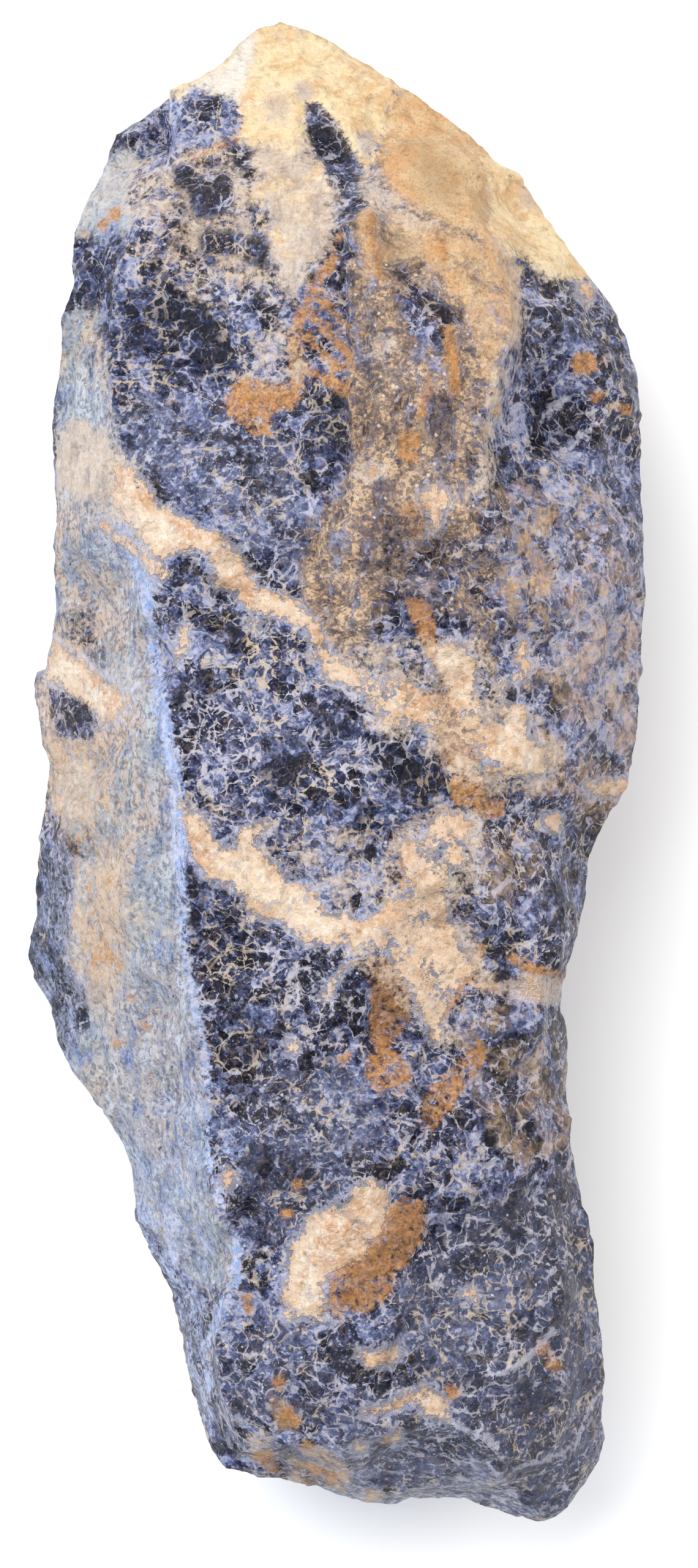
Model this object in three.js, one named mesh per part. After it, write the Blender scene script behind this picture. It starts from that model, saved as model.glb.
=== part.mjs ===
// Rough sodalite stone: one solid lump, broken on every side, lying on a small flat.
// Millimetres, +Z up. +Y is the capped end, -Y the broken end, +X the stone's right; z = 0 is the flat.
import * as THREE from "three";
import { ImprovedNoise } from "three/addons/math/ImprovedNoise.js";

// ---- size of the mesh -------------------------------------------------------------------------
const ROWS = 72;

// ---- outline seen from above, as [x, y, z of the rim] ------------------------------------------
const LEFT_RIM = [
  [-23.6, 59.6, 22], [-26.1, 54.2, 24], [-26.6, 48.0, 25], [-27.4, 41.8, 25], [-28.7, 37.3, 23],
  [-28.1, 29.7, 24], [-27.9, 25.3, 24], [-28.4, 19.2, 23], [-28.2, 16.1, 22], [-28.9, 10.2, 21],
  [-29.5, 7.5, 20], [-28.1, 0.4, 21], [-29.4, -5.3, 19], [-30.3, -9.8, 18], [-30.4, -13.4, 17],
  [-31.1, -18.4, 16], [-30.1, -21.3, 16.5], [-28.3, -23.9, 18], [-27.8, -27.3, 18],
  [-25.5, -30.7, 19], [-23.1, -33.9, 20], [-20.2, -38.9, 21], [-19.7, -45.4, 21],
  [-17.9, -49.3, 20], [-16.2, -52.8, 18], [-15.4, -57.6, 16], [-14.1, -63.3, 15],
  [-12.5, -68.3, 16], [-11.0, -70.2, 18],
];
const RIGHT_RIM = [
  [16.7, 60.6, 21], [19.1, 59.2, 21], [22.0, 54.6, 22], [25.0, 49.8, 23], [28.8, 44.4, 24],
  [30.6, 40.3, 24], [31.0, 35.8, 25], [30.8, 29.0, 25], [31.0, 23.2, 26], [31.3, 16.7, 26],
  [30.7, 8.6, 26], [29.7, 0.8, 26], [28.8, -3.0, 26], [26.3, -8.5, 26], [25.8, -12.8, 27],
  [24.9, -17.1, 27], [23.6, -22.1, 27], [24.1, -28.2, 27], [23.4, -36.2, 27], [24.0, -40.2, 27],
  [25.8, -47.1, 26], [26.0, -51.6, 26], [26.8, -59.6, 24], [26.7, -63.3, 22], [25.8, -68.2, 20],
  [23.2, -73.8, 18],
];
const CAP_RIM = [
  [-23.6, 59.6, 22], [-19.6, 65.1, 21], [-15.4, 68.5, 20], [-10.8, 71.4, 18], [-7.7, 74.6, 17],
  [-4.9, 75.2, 17], [-1.4, 73.7, 17], [3.3, 71.2, 18], [7.0, 69.1, 19], [9.4, 67.4, 20],
  [13.2, 63.5, 20], [16.7, 60.6, 21],
];
const BREAK_RIM = [
  [-11.0, -70.2, 18], [-7.7, -71.1, 20], [-1.8, -71.8, 21], [4.2, -73.3, 20], [9.2, -72.3, 19],
  [13.5, -72.6, 18], [19.0, -74.8, 17], [21.5, -75.2, 17], [23.2, -73.8, 18],
];

// ---- edges running the length of the upper side, capX and breakX where they meet the end rims --
const FOLD = {
  capX: -20.6, breakX: -9.6,
  points: [
    [-23.9, 53.0, 27.0], [-25.2, 44.0, 29.5], [-25.4, 37.0, 29.0], [-25.2, 29.0, 29.5],
    [-25.0, 20.0, 28.5], [-24.6, 12.0, 28.0], [-24.0, 4.0, 28.0], [-24.8, -4.0, 27.0],
    [-26.2, -11.0, 25.0], [-26.0, -20.0, 24.5], [-24.0, -27.0, 25.0], [-21.0, -33.0, 26.5],
    [-17.8, -39.0, 28.0], [-16.9, -47.0, 27.0], [-14.3, -53.4, 29.5], [-13.4, -58.0, 28.0],
    [-12.6, -63.0, 24.0],
  ],
};
const RIDGE = {
  capX: -15.0, breakX: -5.0,
  points: [
    [-19.6, 56.0, 31.5], [-22.2, 47.0, 33.5], [-22.4, 39.6, 36.0], [-21.0, 30.8, 38.4],
    [-18.6, 20.9, 40.2], [-16.8, 13.1, 41.2], [-15.9, 6.3, 42.0], [-15.1, 1.3, 42.5],
    [-14.2, -4.2, 43.0], [-14.4, -11.0, 43.0], [-14.6, -18.7, 42.6], [-13.5, -26.6, 41.6],
    [-12.4, -31.3, 41.0], [-12.3, -36.2, 40.4], [-11.0, -41.1, 39.9], [-9.4, -48.1, 39.2],
    [-10.5, -51.0, 38.8], [-11.8, -56.0, 37.8], [-11.6, -61.5, 36.4], [-9.4, -67.0, 32.5],
  ],
};
const LEDGE_FOOT = {
  capX: -4.0, breakX: 3.4,
  points: [
    [-0.6, 60.0, 32.0], [1.0, 49.9, 37.6], [1.2, 43.2, 38.8], [1.1, 37.6, 39.6], [1.0, 32.1, 40.4],
    [0.6, 27.0, 41.6], [0.2, 15.0, 42.6], [0.0, 0.0, 43.4], [0.3, -15.0, 43.2], [0.8, -30.0, 42.2],
    [1.2, -45.0, 41.0], [1.6, -58.0, 39.8], [2.6, -67.5, 36.0],
  ],
};
const LEDGE_TOP = {
  capX: -2.2, breakX: 5.6,
  points: [
    [1.4, 60.0, 32.6], [1.9, 49.9, 39.4], [2.0, 43.2, 40.8], [1.9, 37.6, 41.5], [1.8, 32.1, 42.0],
    [1.9, 27.0, 42.5], [2.4, 15.0, 42.8], [2.4, 0.0, 43.4], [2.6, -15.0, 43.0], [3.0, -30.0, 42.0],
    [3.4, -45.0, 40.8], [3.8, -58.0, 39.6], [4.8, -67.5, 36.0],
  ],
};
const LIP_TOP = {
  capX: 7.2, breakX: 14.4,
  points: [
    [12.4, 60.0, 28.5], [16.4, 52.5, 34.6], [17.9, 46.5, 38.2], [17.2, 42.5, 39.4],
    [15.9, 39.0, 40.2], [15.0, 35.0, 40.8], [14.7, 31.0, 41.2], [15.0, 26.0, 41.2],
    [15.4, 15.0, 41.0], [15.2, 0.0, 41.0], [14.2, -14.0, 40.4], [13.6, -30.0, 39.2],
    [13.8, -45.0, 38.4], [14.4, -58.0, 37.6], [14.6, -69.5, 34.5],
  ],
};
const LIP_FOOT = {
  capX: 8.8, breakX: 16.4,
  points: [
    [14.0, 59.6, 27.2], [18.4, 52.0, 31.6], [19.6, 46.5, 33.4], [19.2, 42.5, 33.6],
    [18.2, 38.5, 34.4], [17.2, 35.0, 35.6], [16.8, 31.0, 37.4], [17.3, 26.0, 39.6],
    [17.8, 15.0, 39.8], [17.5, 0.0, 39.6], [16.5, -14.0, 39.0], [15.9, -30.0, 38.0],
    [16.1, -45.0, 37.4], [16.7, -58.0, 36.4], [16.8, -70.0, 33.0],
  ],
};
const SHOULDER = {
  capX: 12.6, breakX: 20.2,
  points: [
    [17.4, 57.2, 25.0], [21.8, 50.0, 28.0], [25.0, 44.0, 29.6], [26.6, 38.0, 30.6],
    [27.0, 31.0, 31.2], [27.0, 22.0, 32.0], [26.6, 12.0, 32.6], [25.6, 2.0, 33.0],
    [23.8, -6.0, 33.6], [21.8, -14.0, 34.0], [20.9, -24.0, 34.4], [20.9, -34.0, 34.0],
    [21.9, -44.0, 33.6], [22.8, -54.0, 33.0], [23.2, -62.0, 31.8], [22.0, -69.0, 28.5],
  ],
};

// ---- breaks across the upper side: planes through three points, each cutting what stands above --
const CORNER_BREAK = [[16.6, -69.0, 33.4], [24.5, -66.5, 30.0], [21.5, -75.2, 18.0]];
const END_BREAK = [[-2.0, -66.4, 38.6], [9.6, -62.6, 38.8], [3.0, -73.0, 25.0]];
const END_BREAK_SIDE = [[9.6, -62.6, 38.8], [17.0, -68.6, 34.6], [9.0, -73.0, 25.0]];

// ---- hollows and pits on the upper side --------------------------------------------------------
const HOLLOWS = [
  { x: 22.4, y: 36.5, radius: 7.5, depth: 2.4 },
  { x: 23.0, y: 34.0, radius: 3.6, depth: 1.2 },
  { x: -15.5, y: 43.4, radius: 7.5, depth: 1.3 },
  { x: -13.5, y: 57.5, radius: 6.0, depth: 0.9 },
  { x: -2.8, y: 2.2, radius: 7.0, depth: 1.1 },
  { x: 7.0, y: -7.0, radius: 5.0, depth: 0.8 },
  { x: -8.0, y: -20.0, radius: 9.0, depth: 1.0 },
  { x: 5.5, y: -26.5, radius: 5.5, depth: 0.8 },
  { x: 14.5, y: -45.0, radius: 9.0, depth: 1.1 },
  { x: 0.9, y: 51.9, radius: 1.9, depth: 1.3 },
  { x: 13.9, y: -11.0, radius: 1.8, depth: 1.1 },
  { x: -21.0, y: -2.0, radius: 5.5, depth: 1.0 },
  { x: -23.0, y: 17.5, radius: 5.0, depth: 0.8 },
  { x: -19.5, y: -28.0, radius: 6.0, depth: 0.7 },
];

// ---- narrow grooves, as a path of [x, y] -------------------------------------------------------
const GROOVES = [
  { path: [[-2.5, 66.6], [0.2, 62.7], [1.7, 60.9], [1.6, 56.0]], halfWidth: 1.9, depth: 1.1 },
  { path: [[-8.7, 57.4], [-7.3, 51.7]], halfWidth: 1.6, depth: 0.7 },
  { path: [[-15.0, 57.0], [-9.0, 46.0], [-4.0, 38.0]], halfWidth: 1.8, depth: 0.7 },
];

// ---- raised ribs, as a path of [x, y] ----------------------------------------------------------
const RIBS = [
  { path: [[14.6, -60.1], [18.0, -59.2], [20.3, -56.9], [23.9, -52.9]], halfWidth: 1.8, height: 0.9 },
  { path: [[27.4, 36.2], [24.2, 33.0], [21.5, 30.5]], halfWidth: 1.8, height: 0.9 },
  { path: [[5.0, 46.4], [8.0, 43.4], [11.9, 41.8], [11.5, 38.0]], halfWidth: 1.8, height: 0.7 },
];

// ---- relief of the broken faces: a slow swell, and chips each broken off at its own slope -------
const UPPER_RELIEF = {
  swell: { span: 17, height: 1.0 },
  chips: { span: 9, height: 1.3, tilt: 0.22, stepWidth: 1.6 },
};
const UNDER_RELIEF = {
  swell: { span: 21, height: 2.4 },
  chips: { span: 13, height: 2.6, tilt: 0.24, stepWidth: 4 },
};
const RIM_SHARE = 0.3;
const RIM_FADE = 4;

// ---- underside, from rim to rim as the share of the rim's height, with the columns in each part --
const ACROSS_UNDER = [
  { place: 0, level: 1, columns: 4 },
  { place: 0.06, level: 0.52, columns: 4 },
  { place: 0.17, level: 0.22, columns: 4 },
  { place: 0.36, level: 0, columns: 6 },
  { place: 0.62, level: 0, columns: 5 },
  { place: 0.82, level: 0.2, columns: 4 },
  { place: 0.95, level: 0.5, columns: 4 },
  { place: 1, level: 1, columns: 0 },
];
const ALONG_UNDER = [
  [0, 1], [0.03, 0.54], [0.11, 0.24], [0.31, 0], [0.7, 0], [0.88, 0.2], [0.97, 0.52], [1, 1],
];
const EDGE_WANDER = { span: 0.19, reach: 0.05 };
const FLAT_SINK = 1.4;

const noise = new ImprovedNoise();

// Straight-line value between neighbouring points of a list, read at one of the coordinates.
function between(points, place, at, want) {
  const rising = points[points.length - 1][at] > points[0][at];
  let i = 0;
  while (i < points.length - 2 && (rising ? points[i + 1][at] < place : points[i + 1][at] > place)) {
    i += 1;
  }
  const [a, b] = [points[i], points[i + 1]];
  const share = THREE.MathUtils.clamp((place - a[at]) / (b[at] - a[at]), 0, 1);
  return THREE.MathUtils.lerp(a[want], b[want], share);
}

function onEndRim(rim, x) {
  return [x, between(rim, x, 0, 1), between(rim, x, 0, 2)];
}

function wholeEdge(edge) {
  return [onEndRim(CAP_RIM, edge.capX), ...edge.points, onEndRim(BREAK_RIM, edge.breakX)];
}

// The edges from left to right, each with the number of columns up to the next one.
const EDGES = [
  { points: LEFT_RIM, columns: 2 },
  { points: wholeEdge(FOLD), columns: 5 },
  { points: wholeEdge(RIDGE), columns: 8 },
  { points: wholeEdge(LEDGE_FOOT), columns: 1 },
  { points: wholeEdge(LEDGE_TOP), columns: 7 },
  { points: wholeEdge(LIP_TOP), columns: 1 },
  { points: wholeEdge(LIP_FOOT), columns: 4 },
  { points: wholeEdge(SHOULDER), columns: 3 },
  { points: RIGHT_RIM, columns: 0 },
];
const COLUMNS = EDGES.reduce((sum, edge) => sum + edge.columns, 0);

// A fixed value from -1 to 1 for each cell of a block grid.
function cellValue(cell, layer) {
  const mixed = Math.sin(cell.x * 127.1 + cell.y * 311.7 + cell.z * 191.9 + layer * 74.7) * 43758.5453;
  return 2 * (mixed - Math.floor(mixed)) - 1;
}

function cellVector(cell, layer) {
  return new THREE.Vector3(...[0, 1, 2].map((axis) => cellValue(cell, layer + axis)));
}

// Level of the nearest chip at a point: every chip is a flat break with its own slope, and a steep
// step as wide as stepWidth lies between two of them.
function chipLevel(point, { span, height, tilt, stepWidth }) {
  const home = point.clone().divideScalar(span).floor();
  let [first, second] = [{ apart: Infinity, level: 0 }, { apart: Infinity, level: 0 }];
  for (const dx of [-1, 0, 1]) {
    for (const dy of [-1, 0, 1]) {
      for (const dz of [-1, 0, 1]) {
        const cell = home.clone().add(new THREE.Vector3(dx, dy, dz));
        const middle = cellVector(cell, 0).multiplyScalar(0.5).addScalar(0.5).add(cell).multiplyScalar(span);
        const offset = point.clone().sub(middle);
        const level = cellValue(cell, 3) * 0.5 * height + offset.dot(cellVector(cell, 4)) * tilt;
        const chip = { apart: offset.length(), level };
        if (chip.apart < first.apart) {
          [first, second] = [chip, first];
        } else if (chip.apart < second.apart) {
          second = chip;
        }
      }
    }
  }
  const share = 0.5 + 0.5 * THREE.MathUtils.smoothstep(second.apart - first.apart, 0, stepWidth);
  return THREE.MathUtils.lerp(second.level, first.level, share);
}

function relief(point, { swell, chips }) {
  const slow = noise.noise(point.x / swell.span, point.y / swell.span, point.z / swell.span + 5.3);
  return slow * swell.height + chipLevel(point, chips);
}

function distanceToPath(x, y, path) {
  let least = Infinity;
  for (let i = 0; i < path.length - 1; i += 1) {
    const [ax, ay] = path[i];
    const [bx, by] = path[i + 1];
    const lengthSquared = (bx - ax) ** 2 + (by - ay) ** 2;
    const share = ((x - ax) * (bx - ax) + (y - ay) * (by - ay)) / lengthSquared;
    const t = THREE.MathUtils.clamp(share, 0, 1);
    least = Math.min(least, Math.hypot(x - ax - t * (bx - ax), y - ay - t * (by - ay)));
  }
  return least;
}

// Rounded profile that is 1 at the middle and 0 from the given reach outward.
function hump(distance, reach) {
  const share = Math.min(distance / reach, 1);
  return (1 - share * share) ** 2;
}

function namedRelief(x, y) {
  let z = 0;
  for (const hollow of HOLLOWS) {
    z -= hollow.depth * hump(Math.hypot(x - hollow.x, y - hollow.y), hollow.radius);
  }
  for (const groove of GROOVES) {
    z -= groove.depth * hump(distanceToPath(x, y, groove.path), groove.halfWidth);
  }
  for (const rib of RIBS) {
    z += rib.height * hump(distanceToPath(x, y, rib.path), rib.halfWidth);
  }
  return z;
}

function planeHeight([a, b, c], x, y) {
  const normal = new THREE.Vector3(b[0] - a[0], b[1] - a[1], b[2] - a[2])
    .cross(new THREE.Vector3(c[0] - a[0], c[1] - a[1], c[2] - a[2]));
  return a[2] - (normal.x * (x - a[0]) + normal.y * (y - a[1])) / normal.z;
}

// The closed outline: each rim goes on from the last point of the one before it.
const WHOLE_RIM = [
  ...LEFT_RIM,
  ...BREAK_RIM.slice(1),
  ...RIGHT_RIM.toReversed().slice(1),
  ...CAP_RIM.toReversed().slice(1),
];

function upperHeight(x, y, z) {
  const fade = THREE.MathUtils.smoothstep(distanceToPath(x, y, WHOLE_RIM), 0, RIM_FADE);
  const end = Math.max(planeHeight(END_BREAK, x, y), planeHeight(END_BREAK_SIDE, x, y));
  return Math.min(z + namedRelief(x, y) * fade, planeHeight(CORNER_BREAK, x, y), end);
}

// One point of the upper side before its relief, as [x, y, z].
function upperPoint(row, edgeIndex, share) {
  const v = row / ROWS;
  const ends = [EDGES[edgeIndex], EDGES[edgeIndex + 1]].map(({ points }) => {
    const y = THREE.MathUtils.lerp(points[0][1], points[points.length - 1][1], v);
    return [between(points, y, 1, 0), y, between(points, y, 1, 2)];
  });
  const point = [0, 1, 2].map((axis) => THREE.MathUtils.lerp(ends[0][axis], ends[1][axis], share));
  if (row === 0) {
    return onEndRim(CAP_RIM, point[0]);
  }
  return row === ROWS ? onEndRim(BREAK_RIM, point[0]) : point;
}

function upperRow(row) {
  const points = [];
  for (let i = 0; i < EDGES.length - 1; i += 1) {
    for (let column = 0; column < EDGES[i].columns; column += 1) {
      points.push(upperPoint(row, i, column / EDGES[i].columns));
    }
  }
  points.push(upperPoint(row, EDGES.length - 2, 1));
  return points;
}

const upperGrid = Array.from({ length: ROWS + 1 }, (_, row) => upperRow(row));

// Place across the underside and share of the rim's height for each of its columns.
const UNDER_COLUMNS = ACROSS_UNDER.slice(0, -1).flatMap((part, i) => {
  const next = ACROSS_UNDER[i + 1];
  return Array.from({ length: part.columns }, (_, column) => [
    THREE.MathUtils.lerp(part.place, next.place, column / part.columns),
    THREE.MathUtils.lerp(part.level, next.level, column / part.columns),
  ]);
});

// One point of the underside before its relief: the rims are carried inward from all four sides.
function underPoint(row, column) {
  const v = row / ROWS;
  const [place, level] = UNDER_COLUMNS[column];
  const inside = Math.sin(Math.PI * place);
  const u = place + noise.noise(v / EDGE_WANDER.span, place * 3, 2.7) * EDGE_WANDER.reach * inside;
  const [left, right] = [upperGrid[row][0], upperGrid[row][COLUMNS]];
  const [cap, broken] = [upperGrid[0], upperGrid[ROWS]];
  const point = [0, 1, 2].map((axis) => {
    const [capBulge, breakBulge] = [cap, broken].map(
      (rim) => rim[column][axis] - THREE.MathUtils.lerp(rim[0][axis], rim[COLUMNS][axis], u),
    );
    const ruled = THREE.MathUtils.lerp(left[axis], right[axis], u);
    return ruled + (1 - v) ** 3 * capBulge + v ** 3 * breakBulge;
  });
  const along = between(ALONG_UNDER, v, 0, 1);
  const height = point[2] * (1 - (1 - level) * (1 - along));
  return [point[0], point[1], height - FLAT_SINK * (1 - level) * (1 - along)];
}

const positions = [];
const strengths = [];
const upperIndex = [];
const underIndex = [];

function addVertex(point, faceRelief, strength) {
  positions.push(...point);
  strengths.push({ faceRelief, strength });
  return strengths.length - 1;
}

for (let row = 0; row <= ROWS; row += 1) {
  upperIndex.push([]);
  underIndex.push([]);
  for (let column = 0; column <= COLUMNS; column += 1) {
    const [x, y, z] = upperGrid[row][column];
    if (row === 0 || row === ROWS || column === 0 || column === COLUMNS) {
      const shared = addVertex([x, y, z], UNDER_RELIEF, RIM_SHARE);
      upperIndex[row].push(shared);
      underIndex[row].push(shared);
    } else {
      upperIndex[row].push(addVertex([x, y, upperHeight(x, y, z)], UPPER_RELIEF, 1));
      underIndex[row].push(addVertex(underPoint(row, column), UNDER_RELIEF, 1));
    }
  }
}

function squaredLength(a, b) {
  let sum = 0;
  for (let axis = 0; axis < 3; axis += 1) {
    sum += (positions[a * 3 + axis] - positions[b * 3 + axis]) ** 2;
  }
  return sum;
}

// Two triangles for each square, split along the shorter diagonal. At the four corners of the sheet
// the split runs through the corner, so that both sheets do not share one triangle there.
function sheetTriangles(index, facesUp) {
  const triangles = [];
  for (let row = 0; row < ROWS; row += 1) {
    for (let column = 0; column < COLUMNS; column += 1) {
      const a = index[row][column];
      const b = index[row][column + 1];
      const c = index[row + 1][column + 1];
      const d = index[row + 1][column];
      const atAC = (row === 0 && column === 0) || (row === ROWS - 1 && column === COLUMNS - 1);
      const atBD = (row === 0 && column === COLUMNS - 1) || (row === ROWS - 1 && column === 0);
      const splitAC = atAC || (!atBD && squaredLength(a, c) < squaredLength(b, d));
      const pair = splitAC ? [[a, c, b], [a, d, c]] : [[a, d, b], [b, d, c]];
      for (const [i, j, k] of pair) {
        triangles.push(...(facesUp ? [i, j, k] : [i, k, j]));
      }
    }
  }
  return triangles;
}

const geometry = new THREE.BufferGeometry();
geometry.setAttribute("position", new THREE.Float32BufferAttribute(positions, 3));
geometry.setIndex([...sheetTriangles(upperIndex, true), ...sheetTriangles(underIndex, false)]);
geometry.computeVertexNormals();

// Push every vertex out or in by the relief, then cut off what would reach below the flat.
const place = geometry.getAttribute("position");
const normals = geometry.getAttribute("normal");
for (let i = 0; i < place.count; i += 1) {
  const point = new THREE.Vector3().fromBufferAttribute(place, i);
  const outward = new THREE.Vector3().fromBufferAttribute(normals, i);
  const { faceRelief, strength } = strengths[i];
  point.addScaledVector(outward, relief(point, faceRelief) * strength);
  place.setXYZ(i, point.x, point.y, Math.max(0, point.z));
}

// The origin is on the flat, under the middle of the outline.
geometry.computeBoundingBox();
const middle = geometry.boundingBox.getCenter(new THREE.Vector3());
geometry.translate(-middle.x, -middle.y, 0);
geometry.computeVertexNormals();

const sodalite = new THREE.MeshStandardMaterial({ color: 0x4a5685, roughness: 0.8, metalness: 0 });
const stone = new THREE.Mesh(geometry, sodalite);
stone.name = "sodalite_stone";

const group = new THREE.Group();
group.name = "rough_sodalite";
group.add(stone);

export default group;
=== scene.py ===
"""The rough sodalite stone: a split, unpolished piece of blue rock with cream veins.

The stone lies on its back on a small flat, with the creamy cap towards +Y and the broken main
face up.  Its marks are laid out in millimetres of the stone's own frame, x to the right and y
towards the cap, and sizes are in millimetres too unless a docstring says otherwise.
"""
import logging
import math
from dataclasses import dataclass
from enum import Enum

import bpy
import numpy as np
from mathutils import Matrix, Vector, noise


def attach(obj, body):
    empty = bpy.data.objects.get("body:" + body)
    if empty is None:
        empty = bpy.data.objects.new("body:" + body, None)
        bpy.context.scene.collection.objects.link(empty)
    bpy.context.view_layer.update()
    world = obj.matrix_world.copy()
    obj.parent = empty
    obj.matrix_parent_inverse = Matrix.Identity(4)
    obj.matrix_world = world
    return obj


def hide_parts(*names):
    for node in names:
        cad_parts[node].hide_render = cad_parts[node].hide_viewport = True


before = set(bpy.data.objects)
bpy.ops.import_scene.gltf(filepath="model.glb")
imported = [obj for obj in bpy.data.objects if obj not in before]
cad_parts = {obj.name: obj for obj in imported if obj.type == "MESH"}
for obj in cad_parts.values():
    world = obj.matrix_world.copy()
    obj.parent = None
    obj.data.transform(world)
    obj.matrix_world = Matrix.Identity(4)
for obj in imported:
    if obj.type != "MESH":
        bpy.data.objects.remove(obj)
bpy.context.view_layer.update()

log = logging.getLogger("rough_sodalite")

Point = tuple[float, ...]
Outline = tuple[Point, ...]
Colour = tuple[float, float, float]
Value = bpy.types.NodeSocket | float | Colour

MM = 0.001  # a millimetre in metres
FAR = 9.0  # the most that a place counts as inside a mark, or as outside all of them
STUDIO_LIGHT = 1.4  # how much the studio's light brightens a surface's own colour
MIDDLE = (0.5, 0.5, 0.5)  # what the vectors of noise and of cells vary about


def linear(red: int, green: int, blue: int) -> Colour:
    """Turns a display colour, as seen in the studio's light, into the surface's own.

    Args:
        red: The red part, from 0 to 255.
        green: The green part, from 0 to 255.
        blue: The blue part, from 0 to 255.

    Returns:
        The linear colour that the studio's light brings up to the display colour.
    """
    shares = (red / 255, green / 255, blue / 255)
    light = (s / 12.92 if s <= 0.04045 else ((s + 0.055) / 1.055) ** 2.4 for s in shares)
    return tuple(part / STUDIO_LIGHT for part in light)


class Mineral(Enum):
    """What a mark on the stone is made of, or the highlight painted along its ridges; the value names the
    mesh attribute that holds it.
    """

    CREAM = "cream_depth"
    CAP = "cap_depth"
    NECK = "neck_depth"
    RUST = "rust_depth"
    WARM = "warm_depth"
    CRUST = "crust_depth"
    COAT = "coat_depth"
    # not a mineral: the pale-blue highlight painted along the ridges and the shoulder, also scattered as
    # light-blue flecks
    RIDGE_HIGHLIGHT = "ridge_depth"
    LINE = "line_depth"
    THREAD = "thread_depth"
    TAN = "tan_depth"
    WINDOW = "window_depth"
    SLATE = "slate_depth"


TONE = "tone"
UNDERSIDE_TOO = (Mineral.CREAM, Mineral.CAP, Mineral.WARM)


@dataclass(frozen=True)
class Patch:
    """A patch of one mineral inside a closed outline; a low full makes it sparse."""

    name: str
    outline: Outline
    full: float = FAR

    def depth(self, places: np.ndarray) -> np.ndarray:
        """Measures how deep each place lies inside the outline.

        Args:
            places: The x and y of each place, one row each.

        Returns:
            The distance to the outline, positive inside, at most the patch's fullness.
        """
        corners = np.array(self.outline)
        ends = np.roll(corners, -1, axis=0)
        nearest = np.full(len(places), np.inf)
        inside = np.zeros(len(places), dtype=bool)
        for start, end in zip(corners, ends):
            nearest = np.minimum(nearest, distance_to_edge(places, start, end)[0])
            crosses = (start[1] > places[:, 1]) != (end[1] > places[:, 1])
            rise = end[1] - start[1] if end[1] != start[1] else 1.0
            meets = start[0] + (places[:, 1] - start[1]) * (end[0] - start[0]) / rise
            inside ^= crosses & (places[:, 0] < meets)
        return np.minimum(np.where(inside, nearest, -nearest), self.full)


@dataclass(frozen=True)
class Seam:
    """A band of one mineral along a path of x, y and half width."""

    name: str
    path: Outline
    full: float = FAR

    def depth(self, places: np.ndarray) -> np.ndarray:
        """Measures how deep each place lies inside the band.

        Args:
            places: The x and y of each place, one row each.

        Returns:
            The distance to the band's rim, positive inside, at most the band's fullness.
        """
        deepest = np.full(len(places), -FAR)
        for start, end in zip(self.path, self.path[1:]):
            away, along = distance_to_edge(places, np.array(start[:2]), np.array(end[:2]))
            half_width = start[2] + (end[2] - start[2]) * along
            deepest = np.maximum(deepest, half_width - away)
        return np.minimum(deepest, self.full)


@dataclass(frozen=True)
class Spot:
    """A small round grain of one mineral."""

    name: str
    x: float
    y: float
    radius: float

    def depth(self, places: np.ndarray) -> np.ndarray:
        """Measures how deep each place lies inside the grain, negative outside it."""
        return self.radius - np.hypot(places[:, 0] - self.x, places[:, 1] - self.y)


@dataclass(frozen=True)
class Tone:
    """A darker or paler part of the blue mineral, with a soft edge; a few of them are painted shade or
    light.
    """

    name: str
    outline: Outline
    tone: float
    soft: float

    def share(self, places: np.ndarray) -> np.ndarray:
        """Gives how far each place belongs to the part.

        Args:
            places: The x and y of each place, one row each.

        Returns:
            A smooth rise from 0 outside to 1 inside, over twice the softness.
        """
        depth = Patch(self.name, self.outline).depth(places)
        share = np.clip(depth / self.soft / 2 + 0.5, 0, 1)
        return share * share * (3 - 2 * share)


Mark = Patch | Seam | Spot


def distance_to_edge(
    places: np.ndarray, start: np.ndarray, end: np.ndarray
) -> tuple[np.ndarray, np.ndarray]:
    """Measures the distance from each place to a straight edge.

    Args:
        places: The x and y of each place, one row each.
        start: The edge's first corner.
        end: The edge's last corner.

    Returns:
        The distances, and how far along the edge the nearest point is, from 0 to 1.
    """
    edge = end - start
    length = max(float(edge @ edge), 1e-9)
    along = np.clip((places - start) @ edge / length, 0, 1)
    nearest = start + along[:, None] * edge
    return np.hypot(places[:, 0] - nearest[:, 0], places[:, 1] - nearest[:, 1]), along


def spots(name: str, *places: Point) -> tuple[Spot, ...]:
    """Scatters round grains of one name at places of x, y and radius."""
    return tuple(Spot(name, *place) for place in places)


def dark_spots(*places: Point) -> tuple[Tone, ...]:
    """Scatters small dark parts with eight corners.

    Args:
        places: The x, y and radius of each part.

    Returns:
        The parts, in the same order.
    """
    turns = [math.tau * corner / 8 for corner in range(8)]
    return tuple(
        Tone("dark spot", tuple((x + r * math.cos(a), y + r * math.sin(a)) for a in turns), -1, 0.35)
        for x, y, r in places
    )


COLUMN_BROWNS: Outline = (
    (3.6, -18.4), (5.3, -18.7), (7, -21.5), (7, -25.1), (5.3, -27), (4.6, -28), (3.6, -24.6),
)
LEFT_UPPER_PATCH: Outline = ((-27.1, 16.5), (-24.1, 16), (-24.1, 12.6), (-26.7, 13))
LEFT_PATCH: Outline = ((-28.9, 8.5), (-24.8, 6.8), (-23.7, 4.3), (-24.8, 2.9), (-28.2, 3.7))
LEFT_STRIP: Outline = (
    (-30.3, -7.4), (-25.8, -7.4), (-26.7, -14.2), (-27.2, -17.6), (-26.9, -19.8), (-24.9, -22.1),
    (-24.9, -24.4), (-26.3, -25.6), (-26.4, -29), (-28, -26.7), (-29.5, -21.9), (-31.2, -20.1),
    (-31.5, -17.6), (-30.6, -11.9),
)
LOWER_RIGHT_FACE: Outline = (
    (9, -44.9), (21.3, -43), (25.6, -51.7), (25, -62.7), (18.2, -59.7), (11.5, -56.6),
)

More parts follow.
